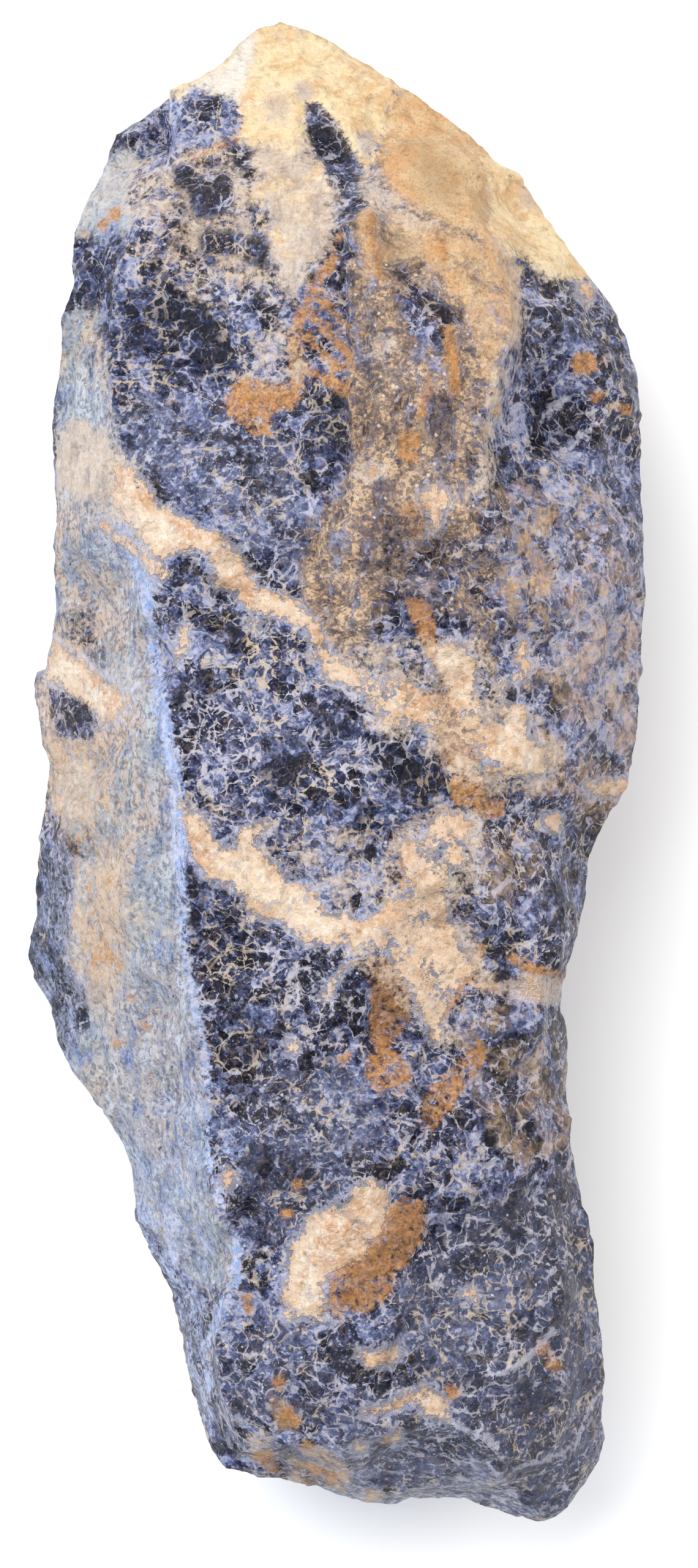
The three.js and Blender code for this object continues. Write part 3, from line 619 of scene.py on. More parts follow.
WINDOW_MARKS: tuple[Mark, ...] = (
    Patch("low coat", (
        (-20.8, -18.4), (-16.2, -19.7), (-13.8, -30.7), (-13.2, -42.4), (-10.7, -48), (-13.8, -49.8),
        (-19.6, -43.7), (-22.1, -36.3),
    ), full=-0.26),
    Patch("slash", (
        (-2.9, 67.4), (-1.3, 66.7), (-0.1, 65), (1.6, 62.4), (2.7, 60), (2.1, 58), (0.9, 58.4),
        (-0.5, 59.4), (-1.1, 61), (-2.1, 61.8), (-2.7, 63.9), (-3.3, 65.9),
    ), full=0.25),
    Patch("slash foot", (
        (0.4, 59.7), (2.4, 59.7), (2.2, 56.5), (1.3, 55.1), (0.1, 55.9), (-0.1, 57.8),
    ), full=-0.2),
    Patch("pit", ((0, 52.8), (1.4, 52.8), (1.6, 51.3), (0.4, 51), (-0.2, 51.8))),
    Patch("ring hole", ((8.6, 9.9), (10.7, 9.8), (11.2, 7.9), (9.7, 7.2), (8.5, 7.9)), full=-0.15),
    Patch("block a", ((-16.4, 60.5), (-14.3, 60.8), (-14, 58.4), (-16, 58.2))),
    Patch("block b", ((-15.1, 59.2), (-10.6, 59.8), (-10.1, 55.9), (-13.9, 55.2)), full=0.4),
    Patch("block c", ((-13.6, 53.7), (-9.3, 53.7), (-9.3, 51.5), (-13.3, 51.6)), full=0.4),
    Patch("block d", ((-10.3, 62.4), (-8.6, 62.4), (-8.6, 60.1), (-10.2, 60.2))),
    Patch("block e", ((-9.8, 53.4), (-6.9, 53.1), (-6.6, 50.4), (-9, 50.4)), full=0.3),
    Patch("dark upper left", ((-18.9, 64), (-16.1, 64), (-15.7, 61.3), (-18.1, 60.7))),
    Patch("panel wedge", (
        (7, 48.8), (9, 47.8), (10.8, 46.6), (12, 44.6), (10.8, 44.1), (9, 45.3), (7.5, 46.8),
    ), full=0.4),
    Patch("panel lens", (
        (6, 47.4), (8, 46.8), (10.6, 43.9), (10.5, 41.9), (9.3, 42.1), (7.9, 42.8), (6.7, 44.6),
    ), full=0.5),
    Patch("panel speckle", (
        (9, 38.2), (13.9, 37.9), (14.5, 34.5), (12.7, 28.3), (9.3, 29.6),
    ), full=-0.25),
    Patch("panel gap", ((5.3, 25.9), (8.4, 24.6), (6.5, 20.3), (4.4, 18.5)), full=-0.1),
    Patch("panel foot", ((8.4, 24), (11.8, 23.4), (11.8, 16), (7.8, 14.8), (6.5, 19.1)), full=-0.25),
    Patch("panel upper gap", ((2.8, 39.4), (5.9, 40.6), (6.5, 37), (3.5, 35.7)), full=-0.6),
    Patch("left patch a", LEFT_UPPER_PATCH, full=0.1),
    Patch("left patch b", LEFT_PATCH, full=0.3),
    Patch("left patch c", (
        (-24.8, 25.9), (-19.9, 23.4), (-18.7, 18.5), (-21.8, 16), (-26.7, 19.7),
    ), full=-0.35),
    Patch("left strip", LEFT_STRIP, full=-0.15),
)

LINE_MARKS: tuple[Mark, ...] = (
    Seam("lower step", (
        (9, -63.4, 0.15), (10.8, -63.9, 0.25), (12.8, -65.3, 0.31), (15.2, -66.4, 0.28),
        (16.5, -68.3, 0.18),
    )),
    Seam("end step", ((15.2, -68.9, 0.18), (16.3, -70.4, 0.25), (18.2, -73.1, 0.18))),
    Seam("raised line", (
        (14.8, -60, 0.22), (17.2, -59.5, 0.28), (19.3, -58.1, 0.28), (20.4, -56.8, 0.28),
        (21.9, -55.4, 0.18),
    )),
    Seam("corner line", (
        (16.9, -69.7, 0.18), (19.2, -69.1, 0.25), (21.7, -68.5, 0.25), (24.1, -67.5, 0.22),
        (24.8, -65.1, 0.25), (26, -62.9, 0.18),
    )),
    # painted highlight along the far rim of the scoop
    Seam("scoop line", ((27, 36, 0.22), (25.6, 34.7, 0.28), (23.8, 32.8, 0.28), (21.9, 31.3, 0.22))),
    Seam("pocket line", ((20.1, 34.5, 0.15), (21.3, 36.3, 0.22), (22.8, 37.3, 0.15))),
    Seam("left pocket line", (
        (-17, -46.8, 0.15), (-15.3, -47.8, 0.18), (-13.9, -48, 0.15), (-12.7, -47.2, 0.12),
    )),
    Seam("neck v left", ((-0.9, 65.3, 0.16), (0.7, 63.1, 0.19), (2.6, 60.9, 0.16))),
    Seam("neck v right", ((4.8, 64.4, 0.16), (4, 62.5, 0.19), (3.1, 60.9, 0.16))),
    Seam("neck band", ((2.2, 58.4, 0.26), (4, 58.2, 0.26), (6.2, 56.3, 0.23), (8.1, 54.7, 0.19))),
    Seam("right line", ((27.9, 15.4, 0.13), (28.2, 12.3, 0.13), (28.6, 8.5, 0.13))),
    Seam("face b", ((-3.6, -33.3, 0.13), (-1.2, -33, 0.16), (1.1, -32.8, 0.13))),
    Seam("face c", ((15.6, -12, 0.13), (17.2, -10.6, 0.16), (19.5, -12, 0.13))),
)

THREAD_MARKS: tuple[Mark, ...] = (
    Patch("block net", (
        (-20.8, 62.2), (-15.6, 62.2), (-10.1, 62.8), (-7.6, 59.1), (-6.4, 53), (-5.2, 46.8),
        (-9.5, 45.6), (-13.2, 48), (-17.5, 51.7), (-20.5, 54.2),
    )),
    Patch("face net", (
        (-16.2, 13), (-7.6, 13.6), (-0.5, 11.1), (5.3, 3.7), (4.1, -2.4), (-4.5, -6.7), (-11.9, -3.7),
        (-15.6, 3.7),
    )),
    Patch("low net", (
        (-14.4, -11), (-4.5, -14.7), (0.4, -20.9), (-2.1, -27), (-10.7, -25.8), (-14.4, -18.4),
    )),
    Patch("scoop net", ((18.2, 43.1), (27.5, 38.2), (28.1, 33.3), (21.3, 29.6), (16.4, 33.3)), full=-0.4),
    Patch("lower right net", LOWER_RIGHT_FACE, full=-0.3),
    Patch("column net", ((13.3, -4.3), (21.3, -4.3), (23.8, -18.4), (15.2, -18.4))),
)

MARKS: dict[Mineral, tuple[Mark, ...]] = {
    Mineral.CREAM: CREAM_MARKS,
    Mineral.NECK: NECK_MARKS,
    Mineral.TAN: TAN_MARKS,
    Mineral.CAP: CAP_MARKS,
    Mineral.RIDGE_HIGHLIGHT: RIDGE_HIGHLIGHT_MARKS,
    Mineral.CRUST: CRUST_MARKS,
    Mineral.RUST: RUST_MARKS,
    Mineral.WARM: WARM_MARKS,
    Mineral.COAT: COAT_MARKS,
    Mineral.SLATE: SLATE_MARKS,
    Mineral.WINDOW: WINDOW_MARKS,
    Mineral.LINE: LINE_MARKS,
    Mineral.THREAD: THREAD_MARKS,
}

TONES: tuple[Tone, ...] = (
    Tone("big dark patch", (
        (-22, 47.2), (-19.4, 49.2), (-16.3, 48.3), (-13.7, 46.6), (-11.7, 45.2), (-10.6, 44.1),
        (-9.3, 40.8), (-9.7, 39), (-12.2, 38.2), (-16.3, 38.6), (-18.9, 40), (-21.6, 41.3),
        (-22.7, 43.9),
    ), tone=-0.78, soft=0.7),
    Tone("dark notch", (
        (-9.3, 48.7), (-7.3, 48.3), (-7.1, 46.1), (-8, 44.8), (-9.5, 46.1),
    ), tone=-1, soft=0.5),
    Tone("dark streak", (
        (-6.4, 45), (-5.2, 44.3), (-3.9, 42.5), (-4.7, 41.3), (-6.3, 43.1),
    ), tone=-1, soft=0.4),
    Tone("slash", (
        (-2.7, 67), (-1.2, 66), (0.4, 64.2), (1.7, 61.7), (2.7, 59.5), (2, 58), (0.7, 58.4),
        (-0.5, 59.4), (-2, 61.8), (-2.8, 64.4),
    ), tone=-0.85, soft=0.5),
    Tone("pit", ((0.1, 52.7), (1.3, 52.7), (1.5, 51.4), (0.4, 51.1), (-0.1, 51.8)), tone=-1.2, soft=0.3),
    Tone("dark grey patch", (
        (-4, 36), (-2, 36.9), (1.1, 37.3), (1.2, 34.2), (1.1, 30.7), (0, 30.5), (-1.8, 32.5),
        (-3.1, 34.2),
    ), tone=-0.8, soft=0.7),
    Tone("dark diagonal", (
        (-20.2, 32.8), (-18.1, 32.3), (-14.4, 30.7), (-11.8, 28.6), (-12.5, 27.8), (-15.6, 29.9),
        (-19.9, 31.3),
    ), tone=-0.6, soft=0.5),
    # painted shade in the hollow of the scoop
    Tone("pocket", (
        (19, 37.4), (21.5, 38.2), (24, 38), (25.3, 36.4), (25, 34.6), (23.6, 32.7), (22, 31.4),
        (20.1, 31.3), (19.2, 33.3), (19.2, 35),
    ), tone=-0.85, soft=0.25),
    Tone("pocket right", (
        (27, 35.5), (28.1, 35.1), (28.7, 33.3), (27.8, 32.8), (27, 33.9),
    ), tone=-0.8, soft=0.4),
    Tone("dark right top", (
        (18.2, 50.5), (21.3, 50.2), (27.5, 45.6), (29.6, 39.4), (27.5, 38.2), (25, 43.1), (20.7, 45.6),
        (18.5, 46.8),
    ), tone=-0.35, soft=1),
    Tone("dark x a", ((19, 50.1), (20.8, 50.1), (21, 48.6), (19.2, 48.5)), tone=-0.7, soft=0.5),
    Tone("dark face left", (
        (-7.2, 3.3), (-3.2, 3.7), (-2.7, -2.9), (-7, -2.9), (-8.2, 0),
    ), tone=-0.8, soft=1),
    Tone("dark face centre", ((-3.2, 5.3), (1.4, 5.3), (1.6, 0.6), (-3, 0.3)), tone=-0.7, soft=0.8),
    Tone("wedge", ((-0.2, -3.5), (2.5, -2.4), (1.2, -4.2)), tone=-1.2, soft=0.2),
    Tone("dark under pockets", (
        (3.1, 2.9), (10.4, 3.1), (10.4, -1.7), (5.3, -2.4), (3.1, -0.6),
    ), tone=-0.85, soft=0.8),
    Tone("slate", ((14.2, 0.8), (16.8, 1), (17, -1.3), (14.5, -1.5)), tone=-0.6, soft=0.5),
    Tone("hole", ((9, 9.3), (10.4, 9.4), (10.7, 8.2), (9.7, 7.5), (8.9, 8)), tone=-0.5, soft=0.25),
    Tone("dark below middle vein", (
        (-14.6, -10.3), (-12.5, -10.6), (-9.2, -13.2), (-8.2, -16.5), (-13.2, -17.2), (-14.6, -14.7),
    ), tone=-0.8, soft=0.6),
    Tone("dark web", (
        (-12.8, -14.2), (-4.5, -14.7), (-1, -18.4), (-0.8, -25.6), (-8.2, -26.4), (-12.5, -23.4),
    ), tone=-0.55, soft=1),
    # painted shade on the right slope, which falls away from the light
    Tone("dark right slope", (
        (11.4, -24), (18.8, -23.4), (23.7, -25.8), (23.5, -43), (18.8, -44.9), (13.3, -39.4),
        (11.4, -30.7),
    ), tone=-0.2, soft=1.2),
    Tone("dark left strip", LEFT_STRIP, tone=-0.75, soft=0.7),
    Tone("dark left patch", LEFT_PATCH, tone=-0.6, soft=0.6),
    Tone("dark left upper", LEFT_UPPER_PATCH, tone=-0.6, soft=0.6),
    Tone("dark rim upper left", (
        (-26.7, 53.6), (-21.8, 53), (-21.2, 48.6), (-22.7, 44.3), (-26.7, 44.3),
    ), tone=-0.35, soft=1),
    # painted shade on the lower left facet, which turns away from the light
    Tone("lower left facet", (
        (-17, -47.8), (-15.3, -50.6), (-14.3, -53.1), (-13.2, -57), (-13.3, -60), (-13, -62.9),
        (-12.8, -68.3), (-15.6, -64), (-18.4, -53.5),
    ), tone=-0.5, soft=0.7),
    Tone("end facet", (
        (-2.1, -66.7), (2.8, -64), (11.2, -64.6), (15.9, -67.4), (18.2, -73.2), (21.3, -75), (9, -72.6),
        (2.2, -70.1),
    ), tone=0.35, soft=0.7),
    Tone("end facet top", (
        (4.1, -64), (7.8, -63.5), (11.2, -64.5), (14.5, -67), (12.7, -68), (8.4, -66.4), (4.7, -65.5),
    ), tone=-0.45, soft=0.6),
    Tone("lower band brown", (
        (6.2, -42.4), (8.4, -42.7), (8.8, -45.5), (7.6, -47.7), (5.9, -49.3), (5.3, -51.7), (3.1, -53.4),
        (-0.2, -53.6), (0.4, -50.4), (3.6, -47.8), (4.8, -45.5),
    ), tone=-0.55, soft=0.4),
    Tone("column browns", COLUMN_BROWNS, tone=-0.5, soft=0.5),
    Tone("foot left", (
        (-12.5, -63.4), (-4.5, -63.4), (0.4, -65.8), (-2.1, -71.4), (-9.5, -70.1),
    ), tone=0.15, soft=1),
    Tone("corner facet", (
        (16.1, -67), (20.1, -64), (25, -63.4), (26.2, -70.1), (22.5, -74.4), (18.2, -72.6),
    ), tone=0, soft=1),
    Tone("dark patch low", (
        (-12.2, -65.6), (-9.6, -65.6), (-9.5, -68.8), (-11.9, -68.8),
    ), tone=-0.7, soft=0.6),
    # painted shade on the lower right face, which turns away from the light
    Tone("lower right face", LOWER_RIGHT_FACE, tone=-0.5, soft=1.4),
    Tone("dark upper left", (
        (-18.7, 63.7), (-16.2, 63.7), (-15.9, 61.4), (-18, 61),
    ), tone=-0.9, soft=0.6),
    Tone("block spot a", (
        (-16.2, 60.3), (-14.4, 60.6), (-14.1, 58.5), (-15.9, 58.4),
    ), tone=-0.8, soft=0.4),
    Tone("block spot b", ((-15, 59.1), (-10.7, 59.7), (-10.2, 56), (-13.8, 55.3)), tone=-0.75, soft=0.6),
    Tone("block spot c", ((-13.5, 53.6), (-9.5, 53.6), (-9.5, 51.6), (-13.2, 51.7)), tone=-0.7, soft=0.5),
    Tone("block spot d", ((-10.2, 62.2), (-8.7, 62.2), (-8.7, 60.3), (-10.1, 60.3)), tone=-0.7, soft=0.3),
    Tone("block spot e", ((-9.8, 53.3), (-7, 53), (-6.7, 50.5), (-8.8, 50.5)), tone=-0.6, soft=0.4),
    *dark_spots(
        (-5.34, 33.57, 0.74), (-7.99, 27.42, 1.11), (-17.65, 29.20, 0.74), (-6.45, 30.74, 0.74),
        (-2.26, 30.25, 0.74), (24.01, 46.86, 0.92), (13.67, 30.68, 0.62), (16.01, 30.43, 0.74),
        (15.83, 28.40, 0.62), (26.97, 12.40, 1.54), (28.81, 3.97, 0.86), (19.89, 5.32, 0.62),
        (18.54, 8.52, 0.62), (13.74, -10.80, 0.55), (-7.00, -5.57, 0.49), (-22.51, 14.25, 0.74),
        (-24.91, 53.38, 1.23), (6.90, 0.58, 1.35),
    ),
    Tone("panel foot", (
        (2.3, 24.5), (6.5, 25.3), (11.3, 24.5), (11.3, 16), (5.3, 15.4), (2.8, 18.5),
    ), tone=-0.5, soft=0.8),
    Tone("panel dark spots", ((4, 28.5), (6.2, 28.5), (6.2, 26.2), (4.1, 26.4)), tone=-0.7, soft=0.5),
    Tone("panel dark", (
        (9, 37.3), (11.5, 37.6), (11.8, 34.5), (11.3, 31.8), (9.3, 32),
    ), tone=-1, soft=0.5),
    Tone("grey lens", (
        (6.2, 47.1), (7.8, 46.6), (10.4, 43.9), (10.4, 42.1), (9.4, 42.3), (8.1, 43), (6.9, 44.6),
    ), tone=0.4, soft=0.3),
    Tone("wedge in panel", (
        (7.2, 48.6), (9, 47.5), (10.8, 46.4), (11.7, 44.6), (10.8, 44.3), (9, 45.5), (7.6, 47.1),
    ), tone=-0.75, soft=0.3),
    Tone("blue face up", (
        (-21.8, 38.2), (-11.9, 37.6), (-3.3, 29.6), (-3.3, 22.2), (-9.5, 24.6), (-15.6, 28.3),
        (-20.5, 33.3),
    ), tone=0.3, soft=1.5),
    Tone("column pale", ((14.3, 2.9), (18.1, 2.9), (18.1, 0.8), (14.5, 0.8)), tone=0.6, soft=0.5),
    Tone("dark wedge", (
        (7.1, 48.8), (8.4, 48), (12.5, 45.6), (12.1, 44.3), (9, 45.3), (7.5, 46.8),
    ), tone=-0.8, soft=0.3),
    Tone("lens dark a", ((12.9, 31.3), (14, 31.3), (14, 30.1), (13.1, 30.2)), tone=-0.9, soft=0.3),
    Tone("lens dark b", ((15.3, 31), (16.5, 31), (16.4, 29.8), (15.4, 29.8)), tone=-0.9, soft=0.3),
    Tone("lens dark c", ((14.9, 28.3), (16.3, 28.3), (16.1, 27.2), (15, 27.2)), tone=-0.8, soft=0.3),
    Tone("slate low a", (
        (-9.7, -47.9), (-5.6, -47.9), (-5.6, -50.6), (-9.5, -50.6),
    ), tone=-0.2, soft=0.8),
    Tone("streak by the band", (
        (6.7, -48.6), (11.5, -48.7), (11.5, -50.6), (7.2, -50.4),
    ), tone=0.7, soft=0.6),
    Tone("right low blue", ((23.8, -7.4), (26.2, -7.7), (25.9, -9.3), (24.1, -9.2)), tone=-0.3, soft=0.6),
    Tone("panel spot a", ((5.3, 53), (7.8, 53.3), (8.4, 50.5), (5.9, 49.9)), tone=-0.4, soft=0.5),
    Tone("panel spot b", ((2.8, 40.6), (5.3, 40.6), (5.3, 37), (2.8, 37)), tone=-0.4, soft=0.6),
    Tone("block haze", (
        (-19.9, 65.3), (-15.6, 66.8), (-10.4, 65.9), (-9.8, 62.2), (-15.6, 61.4), (-18.7, 59.1),
    ), tone=0.4, soft=0.8),
    Tone("block charcoal", (
        (-15.6, 61.3), (-10.4, 61.6), (-9.5, 57.3), (-9.2, 51.7), (-13.5, 50.2), (-17.5, 53),
        (-16.5, 57.3),
    ), tone=-0.75, soft=0.8),
    Tone("cap whitish", (
        (-16.5, 67.7), (-14.6, 68.8), (-11, 71.3), (-9, 73.8), (-7.9, 74.2), (-8.8, 70.2), (-9.6, 67.7),
        (-9.7, 65.1), (-10.7, 66.5), (-12.4, 68.2),
    ), tone=0.9, soft=0.7),
    Tone("cap grey a", (
        (-7.3, 67.7), (-5.2, 68.3), (-4.4, 66.8), (-4.8, 65.1), (-7, 65),
    ), tone=-0.5, soft=0.6),
    Tone("cap grey b", (
        (-4.2, 69.1), (-3, 69.3), (-2.2, 68), (-3, 67.1), (-4, 67.7),
    ), tone=-0.7, soft=0.4),
    Tone("cap grey wedge", (
        (2, 64), (3.6, 64.3), (4, 62.8), (3.1, 61.1), (2.4, 62.2),
    ), tone=-0.8, soft=0.3),
    Tone("shoulder grey", ((18.2, 59.1), (19.8, 58.5), (20.1, 56.3), (18.5, 56.6)), tone=-0.5, soft=0.5),
    Tone("green-brown a", (
        (7.4, 62.8), (9, 63.5), (11.5, 61.6), (12.5, 59.1), (12.1, 56.3), (10.2, 56), (8.4, 57.3),
        (7.8, 59.7),
    ), tone=-0.7, soft=1.7),
    Tone("green-brown b", ((13.2, 58.1), (15.2, 58.5), (15.3, 54.8), (13.6, 54.5)), tone=-0.6, soft=0.6),
    Tone("panel violet", (
        (4.1, 53.3), (6.2, 53.9), (6.7, 50.5), (5.9, 48.9), (4.4, 49.6),
    ), tone=-0.5, soft=0.6),
    Tone("shoulder haze", (
        (-26.7, 61), (-21.8, 62.8), (-19.9, 60.3), (-20.5, 54.2), (-26.4, 53.9),
    ), tone=0.6, soft=0.8),
    Tone("blue shoulder", ((-19.9, 67.7), (-15, 67.4), (-15, 64.5), (-19.6, 64.3)), tone=0.15, soft=0.8),
    Tone("lilac by rust", ((-8.4, 43.2), (-4.2, 43.2), (-4.2, 38.6), (-8.4, 38.6)), tone=0.75, soft=0.7),
    Tone("mid violet", ((-13.2, 34), (-8.4, 34.5), (-8.2, 28.5), (-12.8, 28.3)), tone=0.15, soft=1),
    # painted light on the left wall of the scoop
    Tone("scoop left", (
        (15.6, 40.3), (18.1, 40.6), (18.5, 37), (19.3, 31.4), (15.9, 31.2),
    ), tone=0.7, soft=0.8),
    Tone("right side", (
        (17, 31.4), (30.5, 32), (30.8, 1.3), (21.3, 1.9), (18.8, 8), (16.4, 22.2),
    ), tone=0.75, soft=1.2),
    Tone("violet right a", ((20.4, 17.9), (23.5, 18.2), (23.8, 15.1), (20.7, 14.9)), tone=0.35, soft=0.8),
    Tone("lilac web", ((-4.3, -6.2), (3.5, -6.7), (4.1, -13.5), (-3.3, -12.9)), tone=0.55, soft=1),
    Tone("blue at bar", ((16, -18.3), (18.5, -18.4), (18.5, -20), (16.1, -19.8)), tone=0.5, soft=0.5),
    Tone("haze below column", (
        (7.8, -36.5), (9.1, -36.3), (9.5, -40.2), (8.1, -40.3),
    ), tone=0.6, soft=0.8),
    Tone("lilac low", ((-0.7, -30.1), (2.7, -30), (2.7, -32.8), (-0.5, -33)), tone=0.55, soft=0.7),
    Tone("blue-grey right", (
        (18.7, -23.7), (20.8, -23.7), (20.8, -25.6), (18.7, -25.7),
    ), tone=0.45, soft=0.6),
    Tone("lower face haze", (
        (0.4, -54.1), (12.7, -49.2), (18.8, -49.2), (16.4, -57.8), (9, -59.7), (2.8, -57.2),
    ), tone=0.25, soft=1.4),
    Tone("low face calm", (
        (-8.2, -30.7), (9, -39.4), (5.3, -40.6), (-3.3, -43), (-8.2, -39.4),
    ), tone=-0.25, soft=1.2),
    Tone("left blue", ((-19, 21.9), (-17.2, 20.3), (-17.6, 16), (-18.7, 16.6)), tone=0.7, soft=0.6),
    Tone("left lens", (
        (-23.7, 11.4), (-19.9, 11.1), (-18.9, 7.2), (-21.8, 7.4), (-23.7, 9.3),
    ), tone=0.35, soft=0.8),
)


def read_vectors(mesh: bpy.types.Mesh, name: str) -> np.ndarray:
    """Reads a vector of every point of a mesh.

    Args:
        mesh: The mesh to read.
        name: The vector's name, co for the place or normal.

    Returns:
        The vectors, one row each.
    """
    flat = np.zeros(len(mesh.vertices) * 3)
    mesh.vertices.foreach_get(name, flat)
    return flat.reshape(-1, 3)


@dataclass(frozen=True)
class Relief:
    """The small tilted facets that break up a face: their size and how steep they are."""

    size: float
    slope: float
    edge_rise: float = 4.0
    scatter: float = 7.3

    def height(self, place: Vector) -> float:
        """Gives the height of the tilted facet that a place lies on.

        Args:
            place: The place in millimetres.

        Returns:
            The height in millimetres, which falls to nothing at the facet's rim.
        """
        distances, centres = noise.voronoi(place / self.size)
        offset = place / self.size - centres[0]
        edge = min((distances[1] - distances[0]) * self.edge_rise, 1)
        tilt = noise.cell_vector(centres[0] * self.scatter) - Vector(MIDDLE)
        return offset.dot(tilt) * 2 * self.size * edge * self.slope


@dataclass
class Stone:
    """The stone itself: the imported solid, broken up finer and marked with its minerals."""

    name: str = "rough_sodalite"
    cuts: int = 3
    weld: float = 1e-6
    facets: Relief = Relief(size=2.6, slope=0.16)
    chips: Relief = Relief(size=1.1, slope=0.12)
    flat_top: float = 1.2
    warp_size: float = 5.0
    warp: float = 1.1
    noise_seed: int = 7
    sheet_top: float = 18.0
    sheet_lean: tuple[float, float] = (0.35, -0.5)
    under_rise: float = 2.5
    under_fade: float = 6.0

    def build(self, solid: bpy.types.Object) -> bpy.types.Object:
        """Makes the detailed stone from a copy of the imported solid.

        Args:
            solid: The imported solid, which stays as it is.

        Returns:
            The stone, at the origin, with its marks as mesh attributes.
        """
        stone = bpy.data.objects.new(self.name, solid.data.copy())
        bpy.context.collection.objects.link(stone)
        bpy.ops.object.select_all(action="DESELECT")
        stone.select_set(True)
        bpy.context.view_layer.objects.active = stone
        bpy.ops.object.mode_set(mode="EDIT")
        bpy.ops.mesh.select_all(action="SELECT")
        bpy.ops.mesh.remove_doubles(threshold=self.weld)
        bpy.ops.mesh.subdivide(number_cuts=self.cuts)
        bpy.ops.mesh.quads_convert_to_tris()
        bpy.ops.object.mode_set(mode="OBJECT")
        bpy.ops.object.shade_smooth()
        self.break_surface(stone.data)
        self.mark(stone.data)
        return stone

    def break_surface(self, mesh: bpy.types.Mesh) -> None:
        """Moves the points along their normals so that the surface breaks into small facets.

        Args:
            mesh: The mesh to break up; the flat that it rests on stays flat.
        """
        places = read_vectors(mesh, "co")
        normals = read_vectors(mesh, "normal")
        keep = np.clip(places[:, 2] / MM / self.flat_top, 0, 1)
        heights = np.zeros(len(places))
        noise.seed_set(self.noise_seed)
        for index in np.flatnonzero(keep):
            place = Vector(places[index]) / MM
            drift = noise.noise_vector(place / self.warp_size) * self.warp
            heights[index] = self.facets.height(place + drift) + self.chips.height(place + drift / 2)
        places += normals * (heights * keep * MM)[:, None]
        mesh.vertices.foreach_set("co", places.ravel())
        mesh.update()

    def mark(self, mesh: bpy.types.Mesh) -> None:
        """Writes each mineral's depth and the blue mineral's tone to the mesh.

        Args:
            mesh: The mesh to mark; low on the walls the marks lean, and most end there.
        """
        points = read_vectors(mesh, "co") / MM
        below = np.clip(self.sheet_top - points[:, 2], 0, None)[:, None]
        places = points[:, :2] + below * np.array(self.sheet_lean)
        under = np.clip(-read_vectors(mesh, "normal")[:, 2] * self.under_rise, 0, 1)
        for mineral, marks in MARKS.items():
            depth = np.full(len(places), -FAR)
            for mark in marks:
                log.debug("%s: %s", mineral.value, mark.name)
                depth = np.maximum(depth, mark.depth(places))
            if mineral not in UNDERSIDE_TOO:
                depth -= under * self.under_fade
            self.write(mesh, mineral.value, depth)
        tone = np.zeros(len(places))
        for part in TONES:
            tone += (part.tone - tone) * part.share(places) * (1 - under)
        self.write(mesh, TONE, tone)

    def write(self, mesh: bpy.types.Mesh, name: str, values: np.ndarray) -> None:
        """Stores one value for each point under an attribute's name."""
        attribute = mesh.attributes.new(name, "FLOAT", "POINT")
        attribute.data.foreach_set("value", values.astype(np.float32))


class Cloud(Enum):
    """The stone's soft noises: the size of their lumps, their detail and their roughness."""

    SLOW = (8.0, 3.0, 0.55)
    BLOTCH = (4.0, 5.0, 0.68)
    MOTTLE = (1.5, 4.0, 0.66)
    FINE = (0.7, 4.0, 0.72)
    SPECKLE = (0.3, 2.0, 0.6)
    STREAK = (1.3, 5.0, 0.72)
    EDGE_SLOW = (3.0, 3.0, 0.6)
    EDGE_FAST = (0.55, 3.0, 0.7)
    BUMP_GRAIN = (0.5, 4.0, 0.7)
    WEB_GAPS = (1.1, 3.0, 0.7)
    WEB_COVER = (5.0, 2.0, 0.6)
    UNEVEN_SPECKS = (0.4, 2.0, 0.6)


class FacetSize(Enum):
    """The sizes of the glassy facets in the blue mineral, largest first."""

    LARGE = 3.2
    MIDDLE = 1.5
    SMALL = 0.7
    TINY = 0.42


